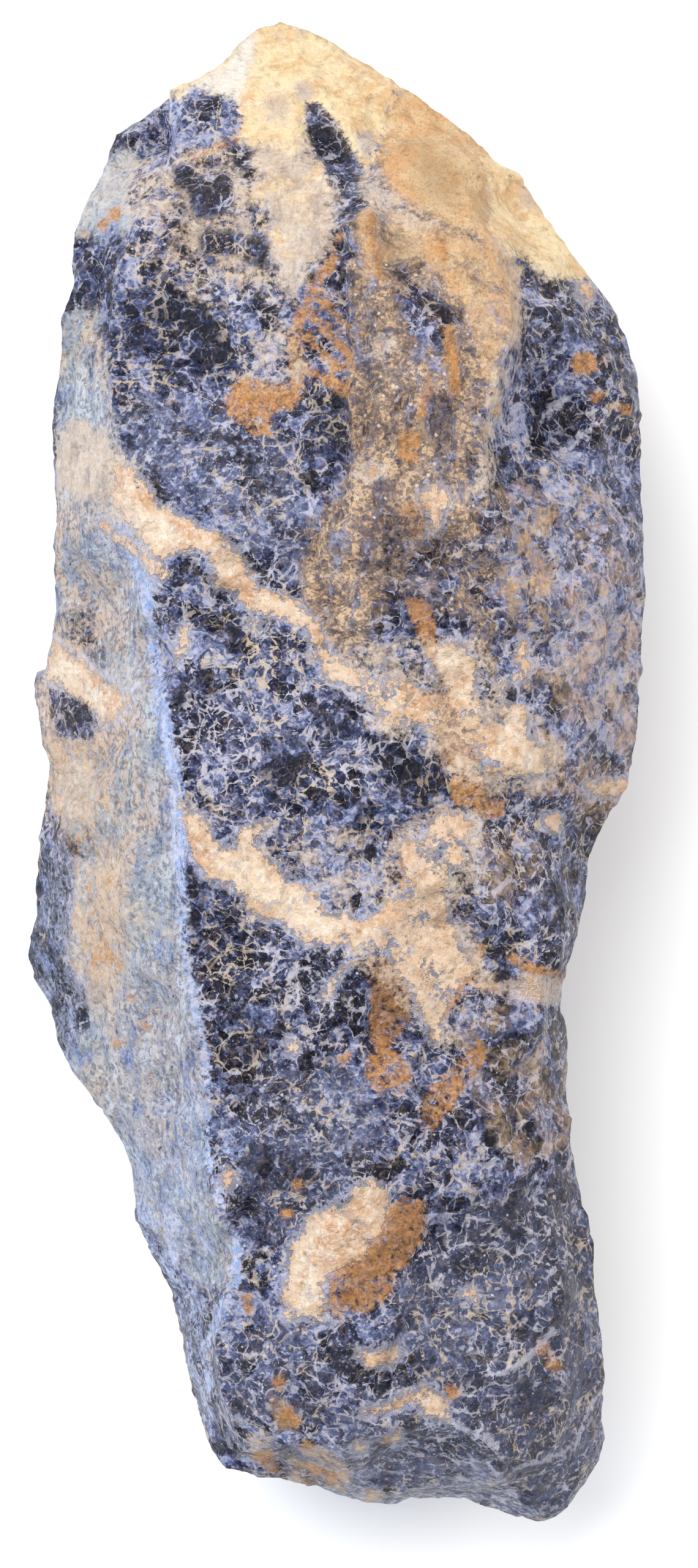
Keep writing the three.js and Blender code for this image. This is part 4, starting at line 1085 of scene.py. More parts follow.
@dataclass(frozen=True)
class Wiring:
    """A node tree with short ways to add and join nodes."""

    tree: bpy.types.NodeTree

    def node(
        self, kind: str, inputs: dict[int | str, Value] | None = None, **settings: object
    ) -> bpy.types.Node:
        """Adds a node, applies its settings and feeds its inputs.

        Args:
            kind: The node's type.
            inputs: What goes into the sockets, by their index or name.
            settings: The node's own settings.

        Returns:
            The new node.
        """
        node = self.tree.nodes.new(kind)
        for setting, value in settings.items():
            setattr(node, setting, value)
        for key, value in (inputs or {}).items():
            self.feed(node.inputs[key], value)
        return node

    def feed(self, socket: bpy.types.NodeSocket, value: Value) -> None:
        """Joins a socket to another, or sets its own value.

        Args:
            socket: The input to feed.
            value: Another node's output, a number, a vector or a colour.
        """
        if isinstance(value, bpy.types.NodeSocket):
            self.tree.links.new(value, socket)
        elif isinstance(value, tuple) and socket.type == "RGBA":
            socket.default_value = (*value, 1.0)
        else:
            socket.default_value = value

    def maths(self, operation: str, *values: Value) -> Value:
        """Does a sum on single values."""
        return self.node("ShaderNodeMath", dict(enumerate(values)), operation=operation).outputs[0]

    def vectors(self, operation: str, *values: Value) -> bpy.types.Node:
        """Does a sum on vectors."""
        return self.node("ShaderNodeVectorMath", dict(enumerate(values)), operation=operation)

    def scaled(self, vector: Value, factor: Value) -> Value:
        """Gives a vector times a number."""
        inputs = {0: vector, "Scale": factor}
        return self.node("ShaderNodeVectorMath", inputs, operation="SCALE").outputs[0]

    def mix(self, share: Value, below: Value, above: Value) -> Value:
        """Lays one colour over another by a share from 0 to 1."""
        return self.node("ShaderNodeMix", {0: share, 6: below, 7: above}, data_type="RGBA").outputs[2]

    def between(self, share: Value, low: Value, high: Value) -> Value:
        """Gives the number between two by a share from 0 to 1."""
        return self.node("ShaderNodeMix", {0: share, 2: low, 3: high}, data_type="FLOAT").outputs[0]

    def step(self, value: Value, low: Value, high: Value) -> Value:
        """Gives 0 below low, 1 above high and a smooth rise between; a low above high turns it round."""
        inputs = {"Value": value, "From Min": low, "From Max": high}
        return self.node("ShaderNodeMapRange", inputs, interpolation_type="SMOOTHSTEP").outputs["Result"]

    def clouds(self, place: Value, size: float, detail: float, rough: float) -> bpy.types.Node:
        """Adds soft noise whose lumps are about size millimetres."""
        inputs = {"Vector": place, "Scale": 1 / size, "Detail": detail, "Roughness": rough}
        return self.node("ShaderNodeTexNoise", inputs)

    def cloud(self, place: Value, cloud: Cloud) -> Value:
        """Gives one of the named noises."""
        return self.clouds(place, *cloud.value).outputs[0]

    def swayed(self, base: Value, value: Value, middle: float, weight: Value) -> Value:
        """Adds to a base how far a value lies from its middle, times a weight."""
        return self.maths("MULTIPLY_ADD", self.maths("SUBTRACT", value, middle), weight, base)

    def cells(self, place: Value, size: Value, feature: str) -> bpy.types.Node:
        """Adds a pattern of broken cells of about size millimetres."""
        inputs = {"Vector": place, "Scale": self.maths("DIVIDE", 1.0, size)}
        return self.node("ShaderNodeTexVoronoi", inputs, feature=feature)

    def shades(self, value: Value, *stops: tuple[float, Colour]) -> Value:
        """Turns a value into a colour.

        Args:
            value: The value, from 0 to 1.
            stops: The place and colour of each stop on the way.

        Returns:
            The colour.
        """
        node = self.node("ShaderNodeValToRGB", {0: value})
        ramp = node.color_ramp
        for index, (position, colour) in enumerate(stops):
            stop = ramp.elements[index] if index < len(ramp.elements) else ramp.elements.new(position)
            stop.position = position
            stop.color = (*colour, 1.0)
        return node.outputs[0]

    def attribute(self, name: str) -> Value:
        """Reads one of the mesh's attributes."""
        return self.node("ShaderNodeAttribute", attribute_name=name).outputs["Fac"]

    def group(self, group: bpy.types.NodeTree, **inputs: Value) -> bpy.types.Node:
        """Places a node group and feeds its named inputs."""
        return self.node("ShaderNodeGroup", inputs, node_tree=group)


def new_group(
    name: str, inputs: tuple[str, ...], outputs: tuple[str, ...]
) -> tuple[Wiring, bpy.types.NodeOutputs, bpy.types.NodeInputs]:
    """Makes an empty shader node group, where a Position is a vector and all else a number.

    Args:
        name: The group's name.
        inputs: The names of its inputs.
        outputs: The names of its outputs.

    Returns:
        The group's wiring, the sockets that bring its inputs and those that take its outputs.
    """
    tree = bpy.data.node_groups.new(name, "ShaderNodeTree")
    for label in inputs:
        kind = "NodeSocketVector" if label == "Position" else "NodeSocketFloat"
        tree.interface.new_socket(label, in_out="INPUT", socket_type=kind)
    for label in outputs:
        tree.interface.new_socket(label, in_out="OUTPUT", socket_type="NodeSocketFloat")
    wiring = Wiring(tree)
    return wiring, wiring.node("NodeGroupInput").outputs, wiring.node("NodeGroupOutput").inputs


def ragged_mask() -> bpy.types.NodeTree:
    """Builds the group that turns a mark's depth into a mask with a broken edge.

    Returns:
        The group's tree.
    """
    w, given, result = new_group(
        "ragged_mask", ("Depth", "Slow", "Fast", "Wander", "Grain", "Softness"), ("Mask",)
    )
    depth = w.swayed(given["Depth"], given["Slow"], 0.5, given["Wander"])
    depth = w.swayed(depth, given["Fast"], 0.5, given["Grain"])
    low = w.maths("MULTIPLY", given["Softness"], -1.0)
    w.feed(result["Mask"], w.step(depth, low, given["Softness"]))
    return w.tree


def fracture_web() -> bpy.types.NodeTree:
    """Builds the group that draws thin, broken lines between cells.

    Returns:
        The group's tree.
    """
    w, given, result = new_group("fracture_web", ("Position", "Cell", "Width", "Cover"), ("Web",))
    place = given["Position"]
    distance = w.cells(place, given["Cell"], "DISTANCE_TO_EDGE").outputs["Distance"]
    away = w.maths("MULTIPLY", distance, given["Cell"])
    patchy = w.step(w.cloud(place, Cloud.WEB_GAPS), 0.44, 0.62)
    width = w.maths("MULTIPLY", given["Width"], w.maths("MULTIPLY_ADD", patchy, 1.5, 0.03))
    line = w.maths("SUBTRACT", 1.0, w.step(away, w.maths("MULTIPLY", width, 0.25), width))
    gate = w.maths("SUBTRACT", 1.0, given["Cover"])
    low, high = w.maths("SUBTRACT", gate, 0.08), w.maths("ADD", gate, 0.08)
    shown = w.step(w.cloud(place, Cloud.WEB_COVER), low, high)
    w.feed(result["Web"], w.maths("MULTIPLY", line, shown))
    return w.tree


def facet_cells() -> bpy.types.NodeTree:
    """Builds the group that gives each cell its own shade and tilt.

    Returns:
        The group's tree.
    """
    w, given, result = new_group("facet_cells", ("Position", "Cell"), ("Shade", "Height", "Edge"))
    cells = w.cells(given["Position"], given["Cell"], "F1").outputs
    scaled = w.scaled(given["Position"], w.maths("DIVIDE", 1.0, given["Cell"]))
    offset = w.vectors("SUBTRACT", scaled, cells["Position"]).outputs[0]
    tilt = w.vectors("SUBTRACT", cells["Color"], MIDDLE).outputs[0]
    height = w.vectors("DOT_PRODUCT", offset, tilt).outputs["Value"]
    w.feed(result["Shade"], w.node("ShaderNodeSeparateColor", {0: cells["Color"]}).outputs[0])
    w.feed(result["Height"], w.maths("MULTIPLY", height, given["Cell"]))
    w.feed(result["Edge"], cells["Distance"])
    return w.tree


def grain_specks() -> bpy.types.NodeTree:
    """Builds the group that scatters small uneven grains.

    Returns:
        The group's tree.
    """
    w, given, result = new_group(
        "grain_specks", ("Position", "Spacing", "Radius", "Share"), ("Mask",)
    )
    cells = w.cells(given["Position"], given["Spacing"], "F1").outputs
    away = w.maths("MULTIPLY", cells["Distance"], given["Spacing"])
    uneven = w.cloud(given["Position"], Cloud.UNEVEN_SPECKS)
    radius = w.maths("MULTIPLY", given["Radius"], w.maths("MULTIPLY", uneven, 2.0))
    draw = w.node("ShaderNodeSeparateColor", {0: cells["Color"]}).outputs[1]
    chosen = w.maths("LESS_THAN", draw, given["Share"])
    grain = w.maths("SUBTRACT", 1.0, w.step(away, w.maths("MULTIPLY", radius, 0.6), radius))
    w.feed(result["Mask"], w.maths("MULTIPLY", grain, chosen))
    return w.tree


@dataclass(frozen=True)
class Edge:
    """How a mineral's edge breaks up: slow wander, fine grain and softness."""

    wander: float
    grain: float
    softness: float


EDGES: dict[Mineral, Edge] = {
    Mineral.CREAM: Edge(3.0, 2.8, 0.2),
    Mineral.CAP: Edge(3.4, 3.0, 0.5),
    Mineral.NECK: Edge(4.0, 4.0, 0.8),
    Mineral.RUST: Edge(1.5, 2.2, 0.35),
    Mineral.WARM: Edge(6.0, 4.0, 2.0),
    Mineral.CRUST: Edge(4.0, 3.4, 0.7),
    Mineral.COAT: Edge(4.0, 3.0, 0.6),
    Mineral.RIDGE_HIGHLIGHT: Edge(1.8, 2.6, 0.3),
    Mineral.LINE: Edge(1.2, 1.5, 0.15),
    Mineral.THREAD: Edge(3.0, 2.0, 0.8),
    Mineral.TAN: Edge(3.0, 1.8, 0.9),
    Mineral.WINDOW: Edge(1.0, 2.0, 0.3),
    Mineral.SLATE: Edge(4.0, 3.0, 1.5),
}


@dataclass(frozen=True)
class SodaliteFinish:
    """The colours of the stone's minerals and the gloss that they share."""

    name: str = "sodalite"
    gloss: float = 0.2
    navy: Colour = linear(5, 9, 30)
    ink: Colour = linear(25, 33, 67)
    slate: Colour = linear(64, 74, 110)
    violet_blue: Colour = linear(106, 116, 156)
    lilac: Colour = linear(160, 166, 196)
    thread: Colour = linear(204, 200, 212)
    thread_beige: Colour = linear(210, 192, 172)
    powder: Colour = linear(202, 202, 220)
    slate_grey: Colour = linear(96, 100, 116)
    white: Colour = linear(226, 224, 226)
    beige_grain: Colour = linear(196, 166, 140)
    cream: Colour = linear(232, 208, 180)
    cream_deep: Colour = linear(212, 172, 138)
    cream_pale: Colour = linear(242, 230, 214)
    cream_grey: Colour = linear(186, 176, 178)
    cap: Colour = linear(238, 214, 172)
    cap_deep: Colour = linear(220, 182, 134)
    cap_pale: Colour = linear(240, 226, 194)
    cap_white: Colour = linear(232, 228, 222)
    rust: Colour = linear(200, 141, 80)
    rust_deep: Colour = linear(146, 104, 70)
    rust_pale: Colour = linear(222, 180, 130)
    crust: Colour = linear(174, 144, 116)
    crust_deep: Colour = linear(66, 64, 82)
    crust_pale: Colour = linear(218, 187, 152)
    coat_blue: Colour = linear(158, 164, 174)
    coat_green: Colour = linear(182, 182, 172)
    coat_beige: Colour = linear(206, 180, 158)
    coat_deep: Colour = linear(88, 96, 118)
    coat_pale: Colour = linear(204, 212, 220)
    tan: Colour = linear(216, 170, 122)
    tan_deep: Colour = linear(166, 138, 102)
    tan_pale: Colour = linear(226, 196, 156)
    neck: Colour = linear(206, 184, 162)
    neck_pale: Colour = linear(222, 206, 190)
    neck_deep: Colour = linear(160, 142, 132)
    # the painted pale-blue highlight of the ridges
    ridge_highlight: Colour = linear(152, 180, 228)

    def material(self) -> bpy.types.Material:
        """Builds the stone's material, which follows Object coordinates and the mesh's marks.

        Returns:
            The material.
        """
        material = bpy.data.materials.new(self.name)
        material.use_nodes = True
        material.node_tree.nodes.clear()
        wiring = Wiring(material.node_tree)
        paint = StonePaint(wiring, self)
        surface = {"Base Color": paint.colour(), "Roughness": paint.roughness(), "Normal": paint.bump()}
        shader = wiring.node("ShaderNodeBsdfPrincipled", surface)
        shader.inputs["Specular IOR Level"].default_value = self.gloss
        wiring.node("ShaderNodeOutputMaterial", {"Surface": shader.outputs[0]})
        return material


class StonePaint:
    """The node work of the stone's surface, from the blue body to the veins on it."""

    def __init__(self, wiring: Wiring, finish: SodaliteFinish) -> None:
        """Sets up what the layers share: places, facets, masks and noise.

        Args:
            wiring: The material's own wiring.
            finish: The colours to paint with.
        """
        self.w = wiring
        self.finish = finish
        self.place = wiring.scaled(wiring.node("ShaderNodeTexCoord").outputs["Object"], 1 / MM)
        self.bent = self.warped(self.place, 4.0, 2.6)
        self.straight = self.warped(self.place, 5.0, 0.7)
        jittered = self.warped(self.bent, 0.8, 0.45)
        cells = facet_cells()
        self.large, self.middle, self.small, self.tiny = (
            wiring.group(cells, Position=jittered, Cell=size.value).outputs for size in FacetSize
        )
        self.tone = wiring.attribute(TONE)
        self.slow = wiring.cloud(self.place, Cloud.SLOW)
        self.blotch = wiring.cloud(self.place, Cloud.BLOTCH)
        self.mottle = wiring.cloud(self.bent, Cloud.MOTTLE)
        self.fine = wiring.cloud(self.place, Cloud.FINE)
        self.speckle = wiring.cloud(self.place, Cloud.SPECKLE)
        drawn_out = wiring.vectors("MULTIPLY", self.place, (1.0, 0.3, 0.6)).outputs[0]
        self.streak = wiring.cloud(drawn_out, Cloud.STREAK)
        self.thread = self.tint(finish.thread, finish.thread_beige, self.slow, 0.44, 0.56)
        self.web = fracture_web()
        self.specks = grain_specks()
        self.ragged = ragged_mask()
        self.edge_slow = wiring.cloud(self.place, Cloud.EDGE_SLOW)
        self.edge_fast = wiring.cloud(self.place, Cloud.EDGE_FAST)
        self.masks = {mineral: self.mask(mineral) for mineral in Mineral}

    def warped(self, place: Value, size: float, reach: float) -> Value:
        """Pushes places about by noise.

        Args:
            place: The places to push.
            size: The size of the noise's lumps.
            reach: How far it pushes.

        Returns:
            The pushed places.
        """
        cloud = self.w.clouds(place, size, 3.0, 0.6).outputs["Color"]
        push = self.w.vectors("SUBTRACT", cloud, MIDDLE).outputs[0]
        return self.w.vectors("ADD", place, self.w.scaled(push, reach)).outputs[0]

    def mask(self, mineral: Mineral, spread: float = 0.0) -> Value:
        """Gives a mineral's mask.

        Args:
            mineral: The mineral whose marks to show.
            spread: How much wider than its marks.

        Returns:
            The mask, 0 outside the marks and 1 inside them.
        """
        edge = EDGES[mineral]
        depth = self.w.maths("ADD", self.w.attribute(mineral.value), spread)
        shape = {"Wander": edge.wander, "Grain": edge.grain, "Softness": edge.softness}
        group = self.w.group(self.ragged, Depth=depth, Slow=self.edge_slow, Fast=self.edge_fast, **shape)
        return group.outputs["Mask"]

    def over(self, below: Value, above: Value, mask: Value, strength: float, *gates: Value) -> Value:
        """Lays a colour over another.

        Args:
            below: The colour underneath.
            above: The colour on top.
            mask: Where the top colour shows.
            strength: How strongly it shows there.
            gates: Further masks that it has to pass.

        Returns:
            The colour of both.
        """
        share = self.w.maths("MULTIPLY", mask, strength)
        for gate in gates:
            share = self.w.maths("MULTIPLY", share, gate)
        return self.w.mix(share, below, above)

    def tint(
        self, below: Value, above: Value, value: Value, low: float, high: float, share: float = 1.0
    ) -> Value:
        """Lays a colour over another where a value passes from low to high, at most by share."""
        return self.over(below, above, self.w.step(value, low, high), share)

    def toned(self, below: Value, above: Value, share: float) -> Value:
        """Lays a colour over the pale tones, or by a negative share over the dark ones."""
        return self.over(below, above, self.tone, share)

    def webbed(
        self, below: Value, place: Value, cell: float, width: float, cover: float, share: float, gate: Value
    ) -> Value:
        """Draws thin fracture threads over a colour, at most by share."""
        web = self.w.group(self.web, Position=place, Cell=cell, Width=width, Cover=cover)
        return self.over(below, self.thread, web.outputs["Web"], share, gate)

    def specked(
        self, below: Value, speck: Colour, radius: float, share: float, strength: float, gate: Value
    ) -> Value:
        """Scatters small specks over a colour, in a share of cells a millimetre apart."""
        group = self.w.group(self.specks, Position=self.place, Spacing=1.0, Radius=radius, Share=share)
        return self.over(below, speck, group.outputs["Mask"], strength, gate)

    def colour(self) -> Value:
        """Lays all the minerals over one another.

        Returns:
            The stone's colour.
        """
        body = self.blue_body()
        colour = self.coat(body)
        colour = self.crust(colour)
        colour = self.tan(colour)
        colour = self.stains(colour)
        colour = self.lines(colour)
        colour = self.cap(colour)
        colour = self.veins(colour)
        colour = self.over(colour, body, self.masks[Mineral.WINDOW], 0.95)
        calm = self.w.between(self.w.step(self.tone, -1.2, -0.1), 0.45, 1.0)
        gate = self.w.maths("MULTIPLY", self.masks[Mineral.THREAD], calm)
        colour = self.webbed(colour, self.straight, 2.9, 0.14, 0.58, 0.8, gate)
        return self.webbed(colour, self.bent, 1.5, 0.10, 0.58, 0.65, gate)

    def blue_body(self) -> Value:
        """Colours the blue mineral: mottled facets, fracture threads, grains, and white specks that are
        partly painted glints.

        Returns:
            The blue mineral's colour.
        """
        w = self.w
        finish = self.finish
        shade = w.swayed(0.34, self.mottle, 0.5, 0.5)
        shade = w.swayed(shade, self.speckle, 0.5, 1.0)
        for facets, weight in ((self.middle, 0.5), (self.small, 0.45)):
            shade = w.swayed(shade, facets["Edge"], 0.42, weight)
        for facets, weight in ((self.large, 0.42), (self.middle, 0.5), (self.small, 0.4)):
            shade = w.swayed(shade, facets["Shade"], 0.5, weight)
        shade = w.swayed(shade, self.slow, 0.5, 0.5)
        shade = w.maths("MULTIPLY_ADD", self.tone, 0.32, shade)
        dull = self.masks[Mineral.SLATE]
        shade = w.between(w.maths("MULTIPLY", dull, 0.45), shade, 0.36)
        body = (finish.navy, finish.ink, finish.slate, finish.violet_blue, finish.lilac)
        colour = w.shades(shade, *((index / 4, part) for index, part in enumerate(body)))
        colour = self.over(colour, finish.slate_grey, dull, 0.3)
        calm = w.step(self.tone, -1.3, -0.1)
        flakes = w.maths("MULTIPLY", w.step(self.tiny["Shade"], 0.86, 0.9), w.step(shade, 0.2, 0.5))
        colour = self.over(colour, finish.powder, flakes, 0.5, w.between(calm, 0.25, 1.0))
        grains = w.maths("MULTIPLY", w.step(self.speckle, 0.58, 0.63), w.step(self.blotch, 0.4, 0.6))
        colour = self.over(colour, finish.thread, grains, 0.3, w.between(calm, 0.35, 1.0))
        colour = self.over(colour, finish.beige_grain, w.step(self.fine, 0.50, 0.62), 0.15, calm)
        gate = w.between(calm, 0.5, 1.0)
        colour = self.webbed(colour, self.straight, 8.0, 0.16, 0.54, 0.6, gate)
        colour = self.webbed(colour, self.bent, 3.2, 0.13, 0.58, 0.7, gate)
        colour = self.webbed(colour, self.bent, 1.5, 0.11, 0.56, 0.6, gate)
        # white specks: pale grains, and painted glints of the glassy facets
        return self.specked(colour, finish.white, 0.17, 0.16, 0.7, w.between(calm, 0.4, 1.0))

    def coat(self, below: Value) -> Value:
        """Adds the pale weathered coat of the left face.

        Args:
            below: The colour underneath.

        Returns:
            The colour with the coat.
        """
        w = self.w
        finish = self.finish
        coat = self.tint(finish.coat_blue, finish.coat_green, self.blotch, 0.42, 0.58)
        beige = w.swayed(w.swayed(self.streak, self.fine, 0.5, 0.9), self.slow, 0.5, 0.9)
        coat = self.tint(coat, finish.coat_beige, beige, 0.42, 0.53, 0.9)
        beside_ridge = w.step(w.attribute(Mineral.RIDGE_HIGHLIGHT.value), -3.6, -0.2)
        coat = self.over(coat, finish.coat_blue, beside_ridge, 0.4)
        coat = self.over(coat, finish.coat_pale, beside_ridge, 0.7, w.step(self.streak, 0.50, 0.58))
        # painted pale-blue highlight streaks beside the ridge
        coat = self.over(coat, finish.ridge_highlight, beside_ridge, 0.8, w.step(self.streak, 0.45, 0.39))
        coat = self.tint(coat, finish.coat_deep, self.tiny["Shade"], 0.74, 0.8, 0.55)
        coat = self.tint(coat, finish.coat_deep, self.fine, 0.54, 0.63, 0.65)
        coat = self.tint(coat, finish.white, self.fine, 0.45, 0.35, 0.55)
        coat = self.toned(coat, finish.coat_pale, 0.7)
        gaps = w.between(w.step(self.streak, 0.36, 0.46), 0.3, 1.0)
        return self.over(below, coat, self.masks[Mineral.COAT], 0.96, gaps)

    def crust(self, below: Value) -> Value:
        """Adds the brown crust of the raised panel and the warm wash round it.

        Args:
            below: The colour underneath.

        Returns:
            The colour with the crust.
        """
        finish = self.finish
        crust = self.tint(finish.crust, finish.crust_pale, self.blotch, 0.42, 0.6)
        crust = self.tint(crust, finish.crust_pale, self.speckle, 0.47, 0.36)
        crust = self.tint(crust, finish.crust_deep, self.small["Shade"], 0.62, 0.7, 0.45)
        crust = self.tint(crust, finish.crust_deep, self.tiny["Shade"], 0.62, 0.7, 0.55)
        crust = self.tint(crust, finish.crust_deep, self.fine, 0.5, 0.66, 0.45)
        crust = self.tint(crust, finish.crust_deep, self.speckle, 0.54, 0.62, 0.6)
        crust = self.toned(crust, finish.crust_deep, -0.6)
        gaps = self.w.between(self.w.step(self.streak, 0.40, 0.5), 0.25, 1.0)
        colour = self.over(below, crust, self.masks[Mineral.CRUST], 0.95, gaps)
        patchy = self.w.step(self.fine, 0.36, 0.6)
        colour = self.over(colour, finish.rust_pale, self.masks[Mineral.WARM], 0.7, patchy)
        return self.specked(colour, finish.neck_pale, 0.22, 0.4, 0.85, self.masks[Mineral.CRUST])

    def tan(self, below: Value) -> Value:
        """Adds the tan patches round the lower veins.

        Args:
            below: The colour underneath.

        Returns:
            The colour with the tan patches.
        """
        tan = self.tint(self.finish.tan_pale, self.finish.tan, self.blotch, 0.4, 0.6)
        tan = self.tint(tan, self.finish.tan_deep, self.speckle, 0.5, 0.66, 0.5)
        tan = self.toned(tan, self.finish.tan_deep, -0.8)
        return self.over(below, tan, self.masks[Mineral.TAN], 0.96)

    def stains(self, below: Value) -> Value:
        """Adds the powdery halo of the veins and the rust stains.

        Args:
            below: The colour underneath.

        Returns:
            The colour with the stains.
        """
        colour = self.over(below, self.finish.powder, self.mask(Mineral.CREAM, 0.7), 0.4)
        rust = self.tint(self.finish.rust_deep, self.finish.rust, self.fine, 0.36, 0.58)
        rust = self.tint(rust, self.finish.rust_pale, self.speckle, 0.5, 0.64, 0.55)
        rust = self.toned(rust, self.finish.rust_deep, -0.8)
        return self.over(colour, rust, self.mask(Mineral.RUST, 0.15), 0.9)

    def lines(self, below: Value) -> Value:
        """Adds the painted pale-blue ridge highlight and the long fracture lines.

        Args:
            below: The colour underneath.

        Returns:
            The colour with the ridges and lines.
        """
        # painted highlight along the ridges, broken into streaks
        ridge_highlight = self.tint(self.finish.powder, self.finish.ridge_highlight, self.fine, 0.42, 0.6)
        highlight_streaks = self.w.between(self.w.step(self.streak, 0.42, 0.5), 0.45, 1.0)
        colour = self.over(below, ridge_highlight, self.masks[Mineral.RIDGE_HIGHLIGHT], 0.95, highlight_streaks)
        return self.over(colour, self.finish.powder, self.masks[Mineral.LINE], 0.6)

    def cap(self, below: Value) -> Value:
        """Adds the pale neck and the creamy cap over it.

        Args:
            below: The colour underneath.

        Returns:
            The colour with the neck and the cap.
        """
        finish = self.finish
        neck = self.tint(finish.neck, finish.neck_pale, self.fine, 0.38, 0.64)
        neck = self.tint(neck, finish.neck_deep, self.streak, 0.48, 0.66, 0.6)
        cap = self.tint(finish.cap, finish.cap_deep, self.blotch, 0.42, 0.6)
        cap = self.tint(cap, finish.cap_pale, self.fine, 0.44, 0.66, 0.6)
        cap = self.tint(cap, finish.cream_grey, self.mottle, 0.44, 0.34, 0.3)
        cap = self.toned(cap, finish.cap_white, 0.9)
        cap = self.toned(cap, finish.cream_grey, -0.9)
        colour = self.over(below, neck, self.masks[Mineral.NECK], 0.92)
        return self.over(colour, cap, self.masks[Mineral.CAP], 1.0)

    def veins(self, below: Value) -> Value:
        """Adds the cream veins and pockets.

        Args:
            below: The colour underneath.

        Returns:
            The colour with the veins.
        """
        w = self.w
        finish = self.finish
        cream = self.tint(finish.cream, finish.cream_deep, self.blotch, 0.44, 0.6)
        cream = self.tint(cream, finish.cream_pale, self.fine, 0.44, 0.64, 0.85)
        stained = w.step(self.speckle, 0.5, 0.6)
        cream = self.over(cream, finish.rust, stained, 0.6, w.step(self.blotch, 0.5, 0.6))
        cream = self.tint(cream, finish.cream_deep, w.attribute(Mineral.CREAM.value), 1.3, 0.1, 0.45)
        cream = self.tint(cream, finish.cream_grey, self.mottle, 0.45, 0.32, 0.8)
        pits = w.step(self.speckle, 0.38, 0.32)
        cream = self.over(cream, finish.neck_deep, pits, 0.5, w.step(self.blotch, 0.5, 0.44))
        return self.over(below, cream, self.masks[Mineral.CREAM], 0.97)

    def roughness(self) -> Value:
        """Makes the blue facets glassy and the other minerals duller.

        Returns:
            The stone's roughness.
        """
        w = self.w
        glass = w.maths("MULTIPLY_ADD", self.small["Shade"], 0.3, 0.32)
        glass = w.between(w.step(self.tiny["Shade"], 0.16, 0.12), glass, 0.12)
        dull = w.maths("MAXIMUM", self.masks[Mineral.COAT], self.masks[Mineral.CRUST])
        pale = w.maths("MAXIMUM", self.masks[Mineral.CREAM], self.masks[Mineral.CAP])
        return w.between(pale, w.between(dull, glass, 0.85), 0.66)

    def bump(self) -> Value:
        """Adds up the facets' tilts and the fine grain into one bump.

        Returns:
            The stone's normal.
        """
        w = self.w
        height = w.maths("MULTIPLY", self.large["Height"], 0.30)
        height = w.maths("MULTIPLY_ADD", self.middle["Height"], 0.50, height)
        height = w.maths("MULTIPLY_ADD", self.small["Height"], 0.55, height)
        height = w.maths("MULTIPLY_ADD", w.cloud(self.place, Cloud.BUMP_GRAIN), 0.2, height)
        height = w.maths("MULTIPLY_ADD", self.masks[Mineral.CREAM], 0.12, height)
        return w.node("ShaderNodeBump", {"Strength": 1.0, "Distance": MM, "Height": height}).outputs[0]


@dataclass(frozen=True)
class Lamp:
    """A soft square lamp; its place and size are in metres and its power in watts."""

    name: str
    place: Point
    size: float
    power: float
    colour: Colour

    def hang(self, target: Point) -> None:
        """Hangs the lamp so that it points at a target.

        Args:
            target: The place that it points at, in metres.
        """
        data = bpy.data.lights.new(self.name, "AREA")
        data.size = self.size
        data.energy = self.power
        data.color = self.colour
        lamp = bpy.data.objects.new(self.name, data)
        bpy.context.collection.objects.link(lamp)
        lamp.location = self.place
        aim = Vector(target) - Vector(self.place)
        lamp.rotation_euler = aim.to_track_quat("-Z", "Y").to_euler()


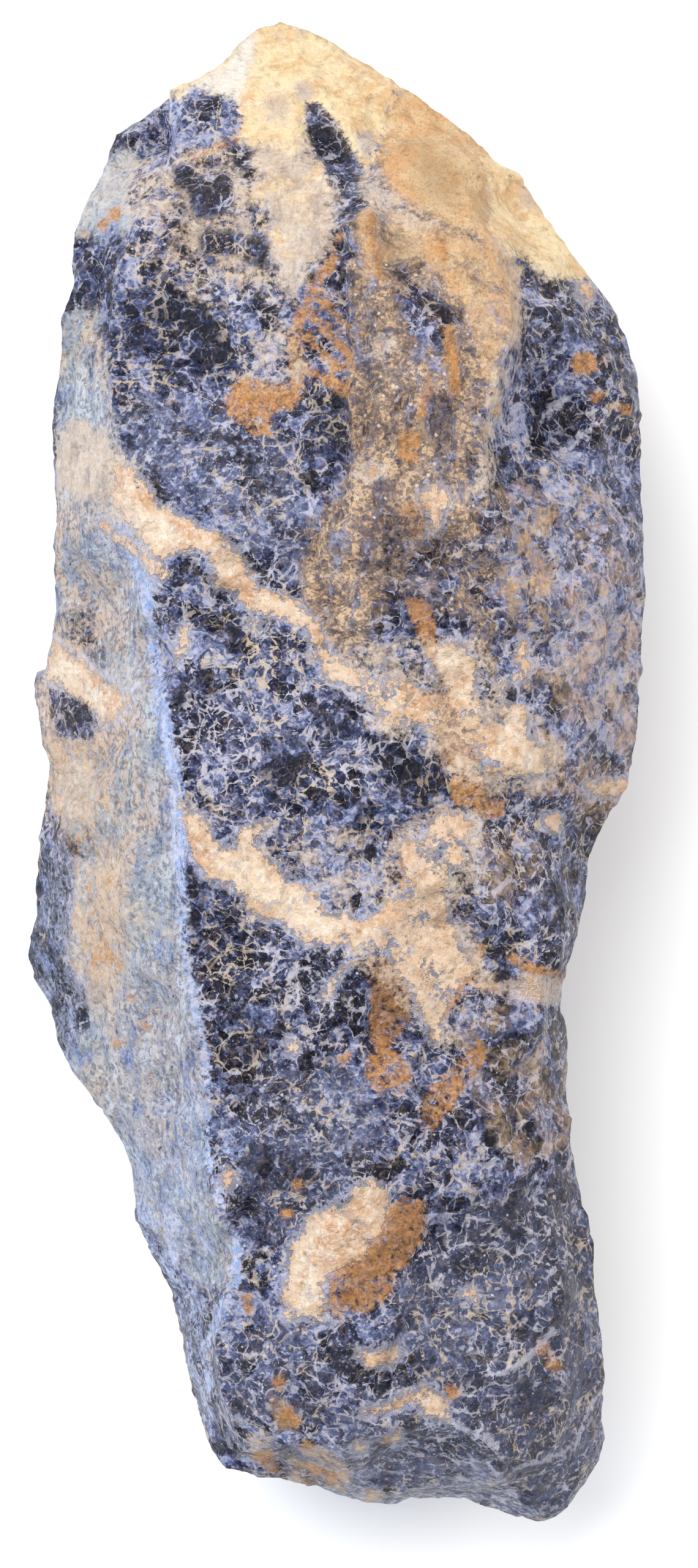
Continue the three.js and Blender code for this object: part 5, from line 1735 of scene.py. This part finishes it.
@dataclass(frozen=True)
class Studio:
    """The floor, the lights and the camera, with lengths in metres."""

    view_height: float = 1.2
    picture_height: float = 0.1575
    look_at: Point = (0.00132, -0.0012, 0.022)
    clip_end: float = 10.0
    sensor: float = 36.0
    floor_size: float = 3.0
    floor_white: Colour = (0.96, 0.96, 0.96)
    floor_roughness: float = 0.9
    floor_gloss: float = 0.1
    sky_white: Colour = (0.93, 0.96, 1.0)
    sky_strength: float = 0.78
    lamps: tuple[Lamp, ...] = (
        Lamp("key", (-0.42, 0.42, 0.95), 1.0, 15.5, (1.0, 0.985, 0.96)),
        Lamp("cool", (-0.9, -0.1, 0.16), 0.4, 3.0, (0.36, 0.6, 1.0)),
        Lamp("warm", (0.8, 0.3, 0.7), 0.6, 4.5, (1.0, 0.9, 0.8)),
    )

    def build(self) -> None:
        """Sets up the whole studio."""
        self.floor()
        self.camera()
        for lamp in self.lamps:
            lamp.hang(self.look_at)
        self.sky()
        bpy.context.scene.view_settings.view_transform = "Standard"

    def floor(self) -> None:
        """Lays a plain pale floor under the stone."""
        bpy.ops.mesh.primitive_plane_add(size=self.floor_size, location=(0, 0, 0))
        floor = bpy.context.active_object
        floor.name = "floor"
        paint = bpy.data.materials.new("floor_paint")
        paint.use_nodes = True
        shader = paint.node_tree.nodes["Principled BSDF"]
        shader.inputs["Base Color"].default_value = (*self.floor_white, 1.0)
        shader.inputs["Roughness"].default_value = self.floor_roughness
        shader.inputs["Specular IOR Level"].default_value = self.floor_gloss
        floor.data.materials.append(paint)

    def camera(self) -> None:
        """Hangs the camera straight above the stone."""
        data = bpy.data.cameras.new("camera")
        data.sensor_width = self.sensor
        data.sensor_height = self.sensor
        data.sensor_fit = "VERTICAL"
        data.lens = self.sensor * self.view_height / self.picture_height
        data.clip_end = self.clip_end
        camera = bpy.data.objects.new("camera", data)
        bpy.context.collection.objects.link(camera)
        x, y, z = self.look_at
        camera.location = (x, y, z + self.view_height)
        bpy.context.scene.camera = camera

    def sky(self) -> None:
        """Lights the stone evenly from all round."""
        world = bpy.data.worlds.new("studio")
        world.use_nodes = True
        background = world.node_tree.nodes["Background"]
        background.inputs["Color"].default_value = (*self.sky_white, 1.0)
        background.inputs["Strength"].default_value = self.sky_strength
        bpy.context.scene.world = world


def main() -> None:
    """Builds the stone and the studio, and reports them."""
    logging.basicConfig(level=logging.INFO, format="%(name)s: %(message)s")
    stone = Stone().build(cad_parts["sodalite_stone"])
    stone.data.materials.clear()
    stone.data.materials.append(SodaliteFinish().material())
    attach(stone, "root")
    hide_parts("sodalite_stone")
    log.info("stone with %d faces", len(stone.data.polygons))
    Studio().build()
    log.info("studio with %d lamps", len(bpy.data.lights))


if __name__ == "__main__":
    main()
